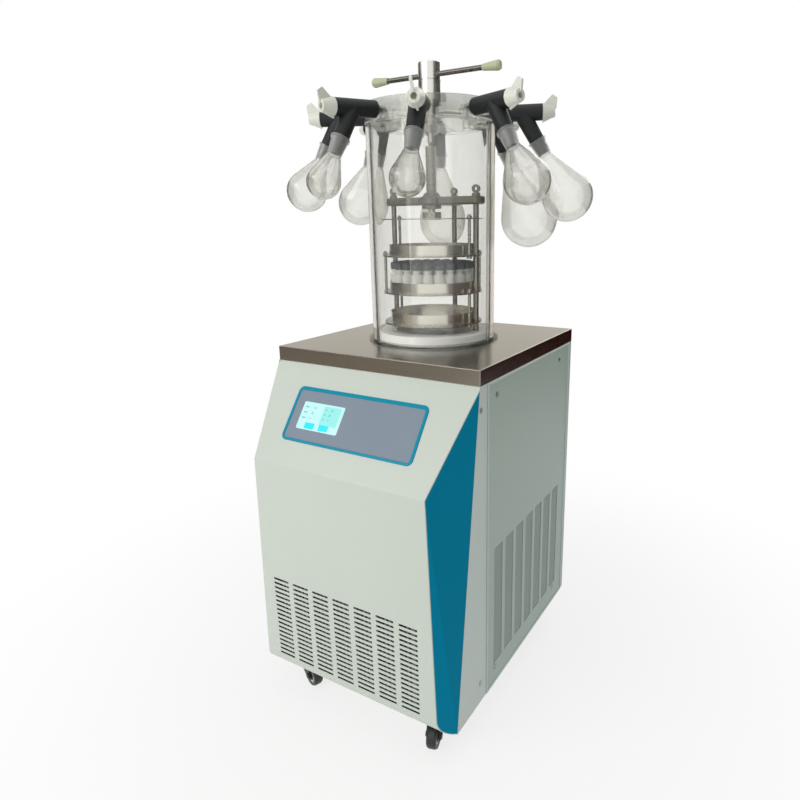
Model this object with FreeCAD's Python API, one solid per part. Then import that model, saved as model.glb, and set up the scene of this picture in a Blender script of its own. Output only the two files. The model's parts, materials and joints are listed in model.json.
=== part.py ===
import FreeCAD, Part
import math
import os
from FreeCAD import Matrix, Vector

# Floor-standing freeze dryer: a steel cabinet on casters with the refrigeration inside, a stainless
# worktop, a clear drying chamber with a stoppering rack, and eight flask valves round the lid.
# Millimetres. Origin on the floor under the chamber's axis, X to the right seen from the front,
# Y to the back, Z up.

os.makedirs("parts", exist_ok=True)

# ---- clearances -------------------------------------------------------------------------------
RUN_GAP = 0.05        # radial, shafts that turn in a bore
SLIP_GAP = 0.1        # radial, pieces that push together by hand
PART_GAP = 0.3        # between neighbours that must not rub

# ---- cabinet ----------------------------------------------------------------------------------
CABINET_W = 465.0
WORKTOP_D = 462.0
AXIS_TO_FRONT = 230.7     # chamber axis to the worktop's front edge
WORKTOP_Z = 736.0
WORKTOP_T = 28.7
WORKTOP_SHEET = 1.5
WORKTOP_BEND = 2.0        # outer radius of the worktop's folds
WHEEL_R = 25.0            # 50 mm casters carry the cabinet
CASTER_OVER = 20.0        # from the top of a wheel to the cabinet's floor
SHEET = 1.2
FRONT_INSET = 1.2         # the body's top edge behind the worktop's front edge
REAR_INSET = 2.8
NOSE_OUT = 124.0          # the slope's lower edge in front of the worktop
NOSE_DROP = 167.9         # the slope's height
NOSE_FOLD_R = 3.0
LOWER_LEAN = 4.0          # the lower front leans back by this much towards the floor
TOE_R = 41.0
CHEEK_TOP_OUT = 2.0       # the corner facets: where their edges cut the front and the side
CHEEK_NOSE_W = 38.5
CHEEK_TOE_W = 25.3
CHEEK_TOE_RISE = 34.6
CHEEK_FOOT_OUT = 89.3
STRIP_BACK = 26.7         # seam between corner strip and side panel, behind the front edge
REAR_SEAM = 13.2          # the rear panel wraps round the side by this much
FLANGE = 14.0
PAN_T = 2.0
PAN_WALL = 44.0
PAN_FRONT_WALL = 18.0

UNDERSIDE_Z = 2 * WHEEL_R + CASTER_OVER
FRONT_Y = -AXIS_TO_FRONT
REAR_Y = FRONT_Y + WORKTOP_D
HALF_W = CABINET_W / 2
BODY_TOP = WORKTOP_Z - WORKTOP_T
BODY_REAR = REAR_Y - REAR_INSET
TOP_EDGE_Y = FRONT_Y + FRONT_INSET
NOSE_Y = FRONT_Y - NOSE_OUT
NOSE_Z = BODY_TOP - NOSE_DROP
TOE_Y = NOSE_Y + LOWER_LEAN + TOE_R
TOE_Z = UNDERSIDE_Z + TOE_R
STRIP_SEAM_Y = FRONT_Y + STRIP_BACK
POST_FRONT = FRONT_Y + WORKTOP_SHEET
POST_REAR = BODY_REAR - SHEET - PAN_T
POST_OUTER = HALF_W - SHEET - PAN_T

# ---- grilles ----------------------------------------------------------------------------------
SLOT_L = 39.0
SLOT_H = 4.6
SLOT_PITCH_X = 50.7
SLOT_PITCH_Z = 10.2
FRONT_COLUMNS = int((CABINET_W - 2 * CHEEK_NOSE_W) / SLOT_PITCH_X)
FRONT_ROWS = 18
FRONT_GRILLE_TOP = UNDERSIDE_Z + 216.0
REAR_COLUMNS = 5
REAR_ROWS = 10
REAR_GRILLE_TOP = UNDERSIDE_Z + 230.0
REAR_GRILLE_X = 33.0
BAND_W = 39.4             # pressed, finely perforated bands in the side panels
BAND_BOTTOM = UNDERSIDE_Z + 45.0
BAND_TOP = UNDERSIDE_Z + 303.0
BAND_FIRST_Y = STRIP_SEAM_Y + 51.4
BAND_COUNT = int((BODY_REAR - REAR_SEAM - BAND_FIRST_Y + BAND_W / 2) / SLOT_PITCH_X)
BAND_DEPTH = 0.8

# ---- control panel ----------------------------------------------------------------------------
BEZEL_W = 300.0
BEZEL_H = 111.5
BEZEL_T = 1.5
BEZEL_R = 12.0
BEZEL_DOWN = 104.25       # bezel's middle below the slope's top edge, along the slope
SCREEN_W = 98.0
SCREEN_H = 54.5
SCREEN_X = -74.5
SCREEN_DOWN = 105.75
SCREEN_DEPTH = 12.0
SCREEN_RIM = 4.0          # the screen's rim reaches this far behind the panel's edge
WINDOW_GAP = 0.4
WINDOW_R = 3.0
CASE_W = 240.0            # electronics case on the deck
CASE_OUT = 80.0
CASE_BACK = 12.0
CASE_H = 56.0
CASE_LIP = 4.0

# ---- screws -----------------------------------------------------------------------------------
SCREW_HEAD_R = 4.2
SCREW_HEAD_T = 1.4
SCREW_R = 2.0
SCREW_L = 7.0
PANEL_SCREW_Y = (STRIP_SEAM_Y + 39.8, REAR_Y - 76.5)
PANEL_SCREW_Z = (BODY_TOP - 29.3, UNDERSIDE_Z + 36.0)
PANEL_SCREWS = [(y, z) for z in PANEL_SCREW_Z for y in PANEL_SCREW_Y]
STRIP_SCREW_Y = STRIP_SEAM_Y - 22.7
STRIP_SCREWS = [(STRIP_SCREW_Y, BODY_TOP - 43.3), (STRIP_SCREW_Y, UNDERSIDE_Z + 42.0)]
DIMPLE_R = 7.0            # each head sits in a pressed dimple
DIMPLE_FLOOR_R = 4.8
DIMPLE_DEEP = 1.8
DIMPLE_WALL = 0.6         # the dimple's inner side is wider by this much

# ---- frame ------------------------------------------------------------------------------------
ANGLE = 25.0
ANGLE_T = 2.5
RING_DEPTH = 72.0
DECK_Z = WORKTOP_Z - 246.0
DECK_T = 2.0

# ---- cold trap --------------------------------------------------------------------------------
TRAP_R = 85.0
TRAP_WALL = 3.0
TRAP_DEPTH = 200.0
TRAP_FLANGE_R = 115.0
TRAP_FLANGE_T = 2.0
JACKET_R = 100.0
JACKET_LOW = 30.0
JACKET_HIGH = 80.0
FOAM_R = 150.0
PORT_OUTER_R = 14.0       # vacuum connection at the rear
PORT_BORE_R = 12.0
PORT_FLANGE_R = 20.0
PORT_FLANGE_T = 3.0
PORT_REACH = 28.0
PORT_STOP_T = 2.0         # collar against the rear panel, and the flange's sloping back
PORT_HEIGHT = WORKTOP_Z - 56.0
DRAIN_R = 6.0
DRAIN_BORE_R = 4.0
DRAIN_HEIGHT = DECK_Z + 22.0
DRAIN_REACH = 62.0
DRAIN_STOP_R = 10.0
BARB_R = 7.3
BARB_ROOT_R = 6.1
BARB_COUNT = 4
BARB_PITCH = 5.0
BARB_L = 4.0
BALL_BODY_R = 12.0        # across the corners of the drain valve's hexagon
BALL_BODY_L = 24.0
BALL_BODY_OUT = 22.0      # its middle behind the cabinet
STEM_R = 4.0
STEM_SEAT = 8.0           # the stem's lower end above the drain's axis
STEM_COLLAR_R = 7.0
LEVER_RISE = 18.0
LEVER_T = 3.2
LEVER_W = 11.0
LEVER_L = 46.0
LEVER_BOSS_R = 9.0
LEVER_DROP = 1.2

# ---- refrigeration ----------------------------------------------------------------------------
COMPRESSOR_R = 78.0
COMPRESSOR_H = 215.0
COMPRESSOR_AT = (70.0, REAR_Y - 136.3)
COMPRESSOR_FOOT_H = 22.0
COMPRESSOR_BOWL = [(22.0, 0.0), (5.0, 14.0), (0.0, 34.0)]   # inset and height over the bottom
COMPRESSOR_DOME = [(4.0, 36.0), (22.0, 12.0)]               # inset and depth below the top
SEAM_AT = 0.55            # the shell's welded seam, as a share of its height
SEAM_OUT = 3.0
SEAM_T = 5.0
SADDLE = (180.0, 124.0, 4.0)
SADDLE_RISE = 12.0
SADDLE_COLUMN_R = 48.0
MOUNT_R = 11.0            # rubber feet
MOUNT_SPREAD = (76.0, 50.0)
TERMINAL_W = 52.0
TERMINAL_OUT = 24.0
TERMINAL_IN = 14.0
TERMINAL_Z = (40.0, 92.0)
CONDENSER_W = 320.0
CONDENSER_Z = (UNDERSIDE_Z + 26.0, UNDERSIDE_Z + 230.0)
CONDENSER_T = 40.0
CONDENSER_GAP = 8.0
CONDENSER_END_T = 6.0
CONDENSER_EDGE = 4.0
CONDENSER_FOOT_W = 20.0
FIN_COUNT = 32
FIN_BACK = 12.0           # solid rear part of the block, behind the fins
FAN_R = 85.0
FAN_Z = sum(CONDENSER_Z) / 2
FAN_BLADES = 5
FAN_HUB_R = 24.0
FAN_DEPTH = 26.0
FAN_CLEAR = 4.0           # between the condenser and the rotor
BLADE_ROOT = (34.0, 42.0) # chord and pitch in degrees
BLADE_TIP = (46.0, 24.0)
BLADE_T = 1.6
BLADE_SUNK = 3.0
COWL_LIP = 3.0
COWL_T = 2.0
COWL_BEHIND = 12.0        # the cowl's duct reaches this far past the rotor's depth
STRAP_W = 14.0
STRAP_T = 2.0
MOTOR_R = 30.0
MOTOR_L = 45.0
FAN_SHAFT_R = 4.0
FAN_SHAFT_IN = 20.0       # the shaft's bore reaches this far into the motor

# ---- casters ----------------------------------------------------------------------------------
CASTER_X = HALF_W - 67.5
CASTER_FRONT_Y = FRONT_Y - 50.0
CASTER_REAR_Y = REAR_Y - 58.0
WHEEL_W = 21.0
CORE_R = 17.0
TRAIL = 21.0
CROWN_R = 20.0
CROWN_T = 5.0
CROWN_GAP = 0.5           # the swivel's ball race
LEG_T = 2.5
LEG_GAP = 1.0
LEG_FOOT = (8.8, 6.6)     # half widths of the leg over and beside the axle
LEG_RISE = 4.0
LEG_DROP = (6.0, 9.0)
AXLE_CAP_R = 6.0
AXLE_CAP_T = 2.0
AXLE_R = 3.0
KINGPIN_R = 5.0
KINGPIN_HEAD_R = 8.0
KINGPIN_HEAD_DROP = 2.5
PLATE_L = 60.0
PLATE_W = 50.0
PLATE_T = 3.0
PLATE_LOW = UNDERSIDE_Z - PLATE_T
CROWN_TOP = PLATE_LOW - CROWN_GAP
PEDAL_AT = (TRAIL - WHEEL_R - 8.0, WHEEL_R + 23.0)
PEDAL_PIN_R = 2.0
# the pedal's outline round its pin: foot tab to the left, brake shoe below
PEDAL_TAB = [(-8.0, 2.0), (-28.0, 6.0), (-27.0, 9.0), (-6.0, 5.0), (3.0, 4.0)]
PEDAL_SHOE = [(4.0, -3.0), (3.5, -14.0), (-0.5, -14.0), (-3.5, -2.0)]
TYRE_EDGE = (2.0, 4.0)    # the tread's rounded edge, inwards and along the axle
TYRE_INSET = 1.0
HUB_DISH = (6.0, 2.0)     # the wheel's side is dished outside this ring
CASTER_YAWS = {"fl": -20.0, "fr": -75.0, "rl": -60.0, "rr": -45.0}
BRAKED = ("fl", "fr")

# ---- drying chamber ---------------------------------------------------------------------------
TUBE_R = 130.0
TUBE_WALL = 10.0
TUBE_L = 421.5
SEAL_OUT = 9.0            # the base seal's rim outside the tube, and its lip inside
SEAL_IN = 2.0
SEAL_T = 5.0
BASE_RING_GAP = 1.0
BASE_RING_BORE = 80.0
BASE_RING_T = 20.0
BASE_RING_CHAMFER = 2.5
SUPPORT_GAP = 1.0
SUPPORT_WALL = 6.0
SUPPORT_H = 13.0
GASKET_T = 3.5
LID_OUT = 1.0
LID_T = 38.0
LID_CHAMFER = 2.0
LID_BORE_R = 12.0
PORT_RISE = 18.0
LID_PORT_R = 9.0
LID_PORT_IN = 31.0        # the radial ports turn down into the chamber this far inside the rim

TUBE_INNER = TUBE_R - TUBE_WALL
TUBE_TOP = WORKTOP_Z + SEAL_T + TUBE_L
SEAL_R = TUBE_R + SEAL_OUT
SEAL_LIP_R = TUBE_INNER - SEAL_IN
BASE_RING_R = SEAL_LIP_R - BASE_RING_GAP
LID_Z = TUBE_TOP + GASKET_T
LID_TOP = LID_Z + LID_T
LID_R = TUBE_R + LID_OUT
PORT_Z = LID_Z + PORT_RISE
LID_PORT_DEEP = LID_R - LID_PORT_IN

# ---- stoppering rack --------------------------------------------------------------------------
POST_R = 5.5
POST_STUD_R = 4.0
POST_L = 256.0
POST_IN = 23.0            # the posts' circle inside the tube's wall
POST_AZIMUTHS = (6.0, 90.0, 180.0)
EYE_R = 8.0
EYE_HOLE_R = 3.5
EYE_T = 6.0
EYE_RISE = 14.0
BRIDGE_T = 16.0
BRIDGE_ARM_W = 32.0
BRIDGE_ROUND = 4.0
BRIDGE_HUB_R = 28.0
NUT_R = 20.0
NUT_DROP = 7.5            # the bridge's threaded nut below and above the bridge
NUT_RISE = 8.0
SCREW_THREAD_R = 11.5
SCREW_ABOVE = 114.0       # the press screw stands this far above the bridge's lower face
RACK_RISE = 6.0           # the press lifts the rack by this much at most
SCREW_NECK_R = 7.3
SCREW_FOOT_R = 10.0
SCREW_FOOT_T = 3.0
PAD_R = 20.0
PAD_UNDER = 14.0          # the pad's top under the bridge
PAD_H = 15.5
PAD_FLOOR = 3.0
POST_SLOT_GAP = 1.0
STOPPER_PLATE_IN = 14.5   # inside the tube's wall
STOPPER_PLATE_UP = 1.0    # above the pad's lower face
STOPPER_PLATE_T = 2.0
SHELF_IN = 16.0
SHELF_T = 3.0
SHELF_RISES = (17.0, 80.0, 154.5)     # above the posts' feet
TRAY_GAP = 0.5            # between the trays and the posts
TRAY_WALL = 0.8
TRAY_H = 20.0
HANGER_R = 3.0
HANGER_IN = 20.5
HANGER_HEAD_R = 5.0
HANGER_HEAD_T = 4.0
HANGER_TIP = 3.0
OUTER_HANGERS = (-12.0, 168.0)
MIDDLE_HANGERS = (31.5, 211.5)
VIAL_R = 11.0
VIAL_NECK_R = 7.5
VIAL_BODY_H = 38.0
VIAL_H = 45.0
VIAL_GAP = 0.3            # between vials, and between them and the tray's wall
CAP_R = 10.0
CAP_H = 13.0

POST_CIRCLE = TUBE_INNER - POST_IN
POST_LOW = WORKTOP_Z + BASE_RING_T
BRIDGE_Z = POST_LOW + POST_L
BRIDGE_TOP = BRIDGE_Z + BRIDGE_T
SCREW_TOP = BRIDGE_Z + SCREW_ABOVE
PAD_Z = (BRIDGE_Z - PAD_UNDER - PAD_H, BRIDGE_Z - PAD_UNDER)
STOPPER_PLATE_R = TUBE_INNER - STOPPER_PLATE_IN
STOPPER_PLATE_Z = PAD_Z[0] + STOPPER_PLATE_UP
SHELF_R = TUBE_INNER - SHELF_IN
SHELF_LEVELS = [POST_LOW + rise for rise in SHELF_RISES]
TRAY_R = POST_CIRCLE - POST_R - TRAY_GAP
HANGER_CIRCLE = TUBE_INNER - HANGER_IN
SUPPORT_R = POST_CIRCLE - POST_R - SUPPORT_GAP

# ---- handle -----------------------------------------------------------------------------------
GLAND_R = 23.0
GLAND_H = 45.0
GLAND_NUT_R = 17.0
GLAND_NUT_T = 16.0
HUB_R = 23.0
HUB_H = 32.7
HUB_CHAMFER = 2.0
ROD_R = 6.3
ROD_HEX = 10.0            # across flats, slides in the press screw
ROD_ROUND_LOW = SCREW_TOP + RACK_RISE + 2
ROD_KEY_IN = 50.0         # the hexagon's length in the press screw
ROD_LOW = SCREW_TOP - ROD_KEY_IN
HEX_GAP = 0.15
RETAINER_R = 9.5
RETAINER_T = 2.0
BAR_R = 5.0
BAR_RISE = 9.7            # the bar's axis above the hub's lower face
BAR_ENDS = (-135.6, 153.8)
BAR_CAP_L = 36.0
BAR_CAP_SMALL_R = 6.2
BAR_CAP_LARGE_R = 9.5
BAR_CAP_END = 4.0
BAR_CAP_TIP_R = 8.0
BAR_CAP_FLOOR = 3.0

HUB_Z = LID_TOP + GLAND_H + PART_GAP
BAR_Z = HUB_Z + BAR_RISE
RETAINER_Z = LID_Z - GLAND_NUT_T - PART_GAP

# ---- flask valves -----------------------------------------------------------------------------
VALVE_FIRST = -64.7
VALVE_STEP = 45.0
ARM_R = 15.75
ARM_INNER = LID_R + 2.0
ARM_OUTER = LID_R + 91.0
NIPPLE_R = 8.9
NIPPLE_INNER = LID_R - 19.0
ARM_BORE_R = 5.0
JUNCTION = LID_R + 50.6   # where the branch leaves the arm
BRANCH_TILT = 29.6
BRANCH_TOP_R = 16.5
BRANCH_END_R = 15.2
BRANCH_L = 60.0
BRANCH_BORE_R = 6.0
TAPER_L = 30.0
PLUG_R = 8.5
PLUG_INNER = LID_R + 35.0
PLUG_PORT_R = 4.5
KNOB_R = 16.5
KNOB_END_R = 10.8
KNOB_L = 24.0
KNOB_HOLE_R = 5.5
KNOB_HOLE_DEEP = 18.0
WING_T = 4.0
# the thumb wing's outline: out from the arm's end, and height over the arm's axis
WING = [(0.0, -20.0), (25.0, -9.0), (27.0, 8.0), (29.0, 24.5), (19.0, 31.0), (3.0, 15.5), (0.0, 15.5)]
NECK_L = 35.0
NECK_RIM_R = 16.5
NECK_ROOT_R = 13.0
BEAD_R = 18.0
BEAD_T = 4.0
GLASS_T = 2.0
FLASK_100 = (31.3, 87.0)      # bulb radius, and its centre below the rim
FLASK_250 = (42.0, 101.5)
FLASK_500 = (51.0, 125.0)
FLASK_1000 = (66.0, 172.0)
# each soft rubber valve sags and rolls a little by itself, and its plug may stand turned:
# flask, sag, roll and turn in degrees
VALVES = [
    (FLASK_100, 3.1, -6.1, 16.0),
    (FLASK_250, -1.5, 0.0, 0.0),
    (FLASK_500, -1.2, 0.0, 0.0),
    (FLASK_1000, 0.0, 0.0, 0.0),
    (FLASK_1000, 0.0, 0.0, 0.0),
    (FLASK_500, 0.0, 0.0, 0.0),
    (FLASK_250, 0.0, 0.0, 0.0),
    (FLASK_100, 2.3, 0.0, 0.0),
]

# ---- rear connections -------------------------------------------------------------------------
INLET_AT = (82.5 - HALF_W, UNDERSIDE_Z + 80.0)
INLET_PLATE = (54.0, 60.0, 2.5)
INLET_BODY = (44.0, 50.0, 32.0)
SOCKET = (27.0, 20.0, 18.0)
SOCKET_DROP = 11.0
PIN = (4.0, 2.0, 12.0)
PIN_SPREAD = 7.0
PIN_STEP = 2.0            # the middle pin stands this much above the inlet's middle
ROCKER = (28.0, 13.0)
ROCKER_RISE = 14.0
ROCKER_GAP = 0.5
ROCKER_WELL = 14.0
ROCKER_PIN_R = 1.5
ROCKER_PIN_DEEP = 6.0
ROCKER_PIN_END = 3.0
# the rocker's outline round its pin: outwards and up
ROCKER_OUTLINE = [(6.0, -4.8), (4.6, 0.0), (6.0, 4.8), (0.0, 5.2), (-4.5, 0.0), (0.0, -5.2)]

# ===============================================================================================
# Shapes that several pieces need


def box(x0, x1, y0, y1, z0, z1):
    return Part.makeBox(x1 - x0, y1 - y0, z1 - z0, Vector(x0, y0, z0))


def rod(radius, start, end):
    axis = end - start
    return Part.makeCylinder(radius, axis.Length, start, axis)


def cone(start, start_r, end, end_r):
    axis = end - start
    return Part.makeCone(start_r, end_r, axis.Length, start, axis)


def disc(radius, z0, z1, x=0.0, y=0.0):
    return Part.makeCylinder(radius, z1 - z0, Vector(x, y, z0))


def ring(outer, inner, z0, z1, x=0.0, y=0.0):
    return disc(outer, z0, z1, x, y).cut(disc(inner, z0, z1, x, y))


def prism(points, push):
    """The closed outline through the points, pushed along a vector."""
    outline = Part.makePolygon(points + [points[0]])
    return Part.Face(outline).extrude(push)


def spun(profile):
    """A closed outline of (radius, height) points turned round the vertical axis."""
    points = [Vector(r, 0, z) for r, z in profile]
    outline = Part.makePolygon(points + [points[0]])
    return Part.Face(outline).revolve(Vector(0, 0, 0), Vector(0, 0, 1), 360)


def fused(*shapes):
    return shapes[0].multiFuse(list(shapes[1:])).removeSplitter()


def on_circle(radius, azimuth, z):
    angle = math.radians(azimuth)
    return Vector(radius * math.cos(angle), radius * math.sin(angle), z)


def turned(shape, azimuth):
    return shape.copy().rotate(Vector(0, 0, 0), Vector(0, 0, 1), azimuth)


def mirrored(shape):
    return shape.mirror(Vector(0, 0, 0), Vector(1, 0, 0))


def save(node, *solids):
    shape = solids[0] if len(solids) == 1 else Part.makeCompound(list(solids))
    shape.exportStep("parts/" + node + ".step")


# ===============================================================================================
# Cabinet

TOP_CORNER = Vector(HALF_W, FRONT_Y - CHEEK_TOP_OUT, BODY_TOP)
NOSE_CORNER = Vector(HALF_W - CHEEK_NOSE_W, NOSE_Y, NOSE_Z)
TOE_SLOPE_Y = TOE_Y - math.sqrt(TOE_R**2 - (TOE_R - CHEEK_TOE_RISE) ** 2)
TOE_CORNER = Vector(HALF_W - CHEEK_TOE_W, TOE_SLOPE_Y, UNDERSIDE_Z + CHEEK_TOE_RISE)
FOOT_CORNER = Vector(HALF_W, FRONT_Y - CHEEK_FOOT_OUT, UNDERSIDE_Z)


def beyond_facet(a, b, c, inset):
    """A thick slab on the outer side of the facet through three points, moved inwards by inset."""
    normal = (b - a).cross(c - a).normalize()
    if normal.x < 0:
        normal = normal * -1
    along = (b - a).normalize()
    across = normal.cross(along)
    middle = (a + b + c) * (1 / 3) - normal * inset
    reach = CABINET_W + WORKTOP_Z
    corners = []
    for i, j in ((-1, -1), (1, -1), (1, 1), (-1, 1)):
        corners.append(middle + along * (i * reach) + across * (j * reach))
    return prism(corners, normal * CABINET_W)


def cabinet_block(front_inset, side_inset):
    """The cabinet's outer form, with its front profile and its sides drawn in by the given amounts."""
    top = Vector(0, TOP_EDGE_Y, BODY_TOP)
    nose = Vector(0, NOSE_Y, NOSE_Z)
    toe = Vector(0, TOE_Y - TOE_R, TOE_Z)
    half_turn = TOE_R * math.sqrt(0.5)
    toe_mid = Vector(0, TOE_Y - half_turn, TOE_Z - half_turn)
    foot = Vector(0, TOE_Y, UNDERSIDE_Z)
    rear_low = Vector(0, BODY_REAR, UNDERSIDE_Z)
    rear_high = Vector(0, BODY_REAR, BODY_TOP)
    up = (top - nose).normalize()
    down = (toe - nose).normalize()
    inwards = (up + down).normalize()
    half_angle = up.getAngle(down) / 2
    fold_mid = nose + inwards * (NOSE_FOLD_R / math.sin(half_angle) - NOSE_FOLD_R)
    run = NOSE_FOLD_R / math.tan(half_angle)
    fold_top, fold_low = nose + up * run, nose + down * run
    edges = [
        Part.makeLine(top, fold_top),
        Part.Arc(fold_top, fold_mid, fold_low).toShape(),
        Part.makeLine(fold_low, toe),
        Part.Arc(toe, toe_mid, foot).toShape(),
        Part.makeLine(foot, rear_low),
        Part.makeLine(rear_low, rear_high),
        Part.makeLine(rear_high, top),
    ]
    outline = Part.Wire(edges)
    if front_inset:
        outline = outline.makeOffset2D(-front_inset)
    half = HALF_W - side_inset
    block = Part.Face(outline).extrude(Vector(2 * half, 0, 0)).translated(Vector(-half, 0, 0))
    upper = beyond_facet(TOP_CORNER, NOSE_CORNER, FOOT_CORNER, side_inset)
    lower = beyond_facet(NOSE_CORNER, TOE_CORNER, FOOT_CORNER, side_inset)
    return block.cut(upper).cut(lower).cut(mirrored(upper)).cut(mirrored(lower))


def facet_plane_slab(behind):
    """Everything behind, or in front of, the plane through the facets' rear edge on the side."""
    direction = (FOOT_CORNER - TOP_CORNER).normalize()
    depth = Vector(0, WORKTOP_D * 2 * (1 if behind else -1), 0)
    reach = direction * CABINET_W
    wide = Vector(CABINET_W, 0, 0)
    corners = [
        TOP_CORNER - reach + wide,
        FOOT_CORNER + reach + wide,
        FOOT_CORNER + reach - wide * 3,
        TOP_CORNER - reach - wide * 3,
    ]
    return prism(corners, depth)


def slope_placed(shape):
    """Puts a shape drawn flat (X across, Y up the slope, Z outwards) on the slope, from its top edge."""
    up = Vector(0, TOP_EDGE_Y - NOSE_Y, BODY_TOP - NOSE_Z).normalize()
    out = Vector(1, 0, 0).cross(up)
    move = Matrix(1, up.x, out.x, 0, 0, up.y, out.y, TOP_EDGE_Y, 0, up.z, out.z, BODY_TOP, 0, 0, 0, 1)
    return shape.transformed(move)


def rounded_plate(width, height, radius, z0, z1, x=0.0, y=0.0):
    plate = box(x - width / 2, x + width / 2, y - height / 2, y + height / 2, z0, z1)
    uprights = [e for e in plate.Edges if abs(e.Vertexes[0].Z - e.Vertexes[1].Z) > 1e-6]
    return plate.makeFillet(radius, uprights)


def side_screws():
    """Where the screws' heads seat on the right-hand side, on the floors of their dimples."""
    return [Vector(HALF_W - DIMPLE_DEEP, y, z) for y, z in PANEL_SCREWS + STRIP_SCREWS]


def screw_holes():
    holes = []
    for place in side_screws():
        inner = place - Vector(SCREW_L + 1, 0, 0)
        hole = rod(SCREW_R + SLIP_GAP, inner, place + Vector(1, 0, 0))
        holes += [hole, mirrored(hole)]
    return Part.makeCompound(holes)


def dimple(y, z, depth, grow):
    """Cone of one dimple on the right, moved inwards by the depth and wider by the growth."""
    face = Vector(HALF_W - depth, y, z)
    floor = face - Vector(DIMPLE_DEEP, 0, 0)
    return cone(floor, DIMPLE_FLOOR_R + grow, face, DIMPLE_R + grow)


def dimpled(sheet, screws):
    for y, z in screws:
        sheet = sheet.fuse(dimple(y, z, SHEET, DIMPLE_WALL)).cut(dimple(y, z, 0, 0))
    return sheet


def dimple_room():
    """What the pan and the frame leave out, on both sides, for the dimples behind the sheets."""
    rooms = []
    for y, z in PANEL_SCREWS + STRIP_SCREWS:
        depth, grow = SHEET + PART_GAP, DIMPLE_WALL + PART_GAP
        room = dimple(y, z, depth, grow)
        collar = rod(DIMPLE_R + grow, Vector(HALF_W - depth, y, z), Vector(HALF_W, y, z))
        rooms += [room, collar, mirrored(room), mirrored(collar)]
    return Part.makeCompound(rooms)


def window(z0, z1):
    gap = 2 * WINDOW_GAP
    return rounded_plate(SCREEN_W + gap, SCREEN_H + gap, WINDOW_R, z0, z1, SCREEN_X, -SCREEN_DOWN)


def front_panel():
    skin = cabinet_block(0, 0).cut(cabinet_block(SHEET, 0))
    reach = WORKTOP_Z
    skin = skin.cut(box(-reach, reach, TOE_Y, reach, 0, NOSE_Z))
    skin = skin.cut(box(-reach, reach, FRONT_Y + ANGLE, reach, NOSE_Z, reach))
    corner = box(POST_OUTER - ANGLE - PART_GAP, reach, TOP_EDGE_Y, reach, NOSE_Z, reach)
    skin = skin.cut(corner).cut(mirrored(corner)).cut(Part.makeCompound(list(corner_strips())))
    slots = []
    for column in range(FRONT_COLUMNS):
        x = (column - (FRONT_COLUMNS - 1) / 2) * SLOT_PITCH_X
        for row in range(FRONT_ROWS):
            z = FRONT_GRILLE_TOP - row * SLOT_PITCH_Z
            low, high = z - SLOT_H / 2, z + SLOT_H / 2
            slots.append(box(x - SLOT_L / 2, x + SLOT_L / 2, NOSE_Y - SHEET, TOE_Y, low, high))
    skin = skin.cut(Part.makeCompound(slots))
    return skin.cut(slope_placed(window(-5, 5)))


def corner_cheeks():
    wall = cabinet_block(SHEET, 0).cut(cabinet_block(SHEET, SHEET))
    wall = wall.cut(facet_plane_slab(True))
    right = wall.common(box(0, CABINET_W, -CABINET_W * 2, CABINET_W, 0, WORKTOP_Z))
    return right, mirrored(right)


def corner_strips():
    seam = STRIP_SEAM_Y - PART_GAP
    sheet = box(HALF_W - SHEET, HALF_W, FOOT_CORNER.y, seam, UNDERSIDE_Z, BODY_TOP)
    back = box(HALF_W - FLANGE, HALF_W, seam - SHEET, seam, UNDERSIDE_Z + PAN_WALL + 1, BODY_TOP)
    ring_low = WORKTOP_Z - WORKTOP_SHEET - RING_DEPTH
    back = back.cut(box(0, HALF_W - SHEET, FOOT_CORNER.y, seam, ring_low - 1, BODY_TOP))
    strip = fused(sheet, back).cut(facet_plane_slab(False))
    strip = dimpled(strip, STRIP_SCREWS).cut(screw_holes())
    return strip, mirrored(strip)


def side_panels():
    seam = STRIP_SEAM_Y + PART_GAP
    rear = BODY_REAR - REAR_SEAM - PART_GAP
    panel = box(HALF_W - SHEET, HALF_W, seam, rear, UNDERSIDE_Z, BODY_TOP)
    shapes_in = []
    shapes_out = []
    for n in range(BAND_COUNT):
        y = BAND_FIRST_Y + n * SLOT_PITCH_X
        low, high = y - BAND_W / 2, y + BAND_W / 2
        inner = HALF_W - SHEET
        shapes_in.append(box(inner - BAND_DEPTH, inner, low, high, BAND_BOTTOM, BAND_TOP))
        low, high = low + SHEET, high - SHEET
        pocket = box(HALF_W - BAND_DEPTH, HALF_W, low, high, BAND_BOTTOM + SHEET, BAND_TOP - SHEET)
        shapes_out.append(pocket)
    panel = panel.multiFuse(shapes_in).cut(Part.makeCompound(shapes_out))
    panel = dimpled(panel, PANEL_SCREWS).cut(screw_holes())
    return panel, mirrored(panel)


def rear_opening(x, z, width, height):
    return box(x - width / 2, x + width / 2, BODY_REAR - 5, BODY_REAR + 5, z - height / 2, z + height / 2)


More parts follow.
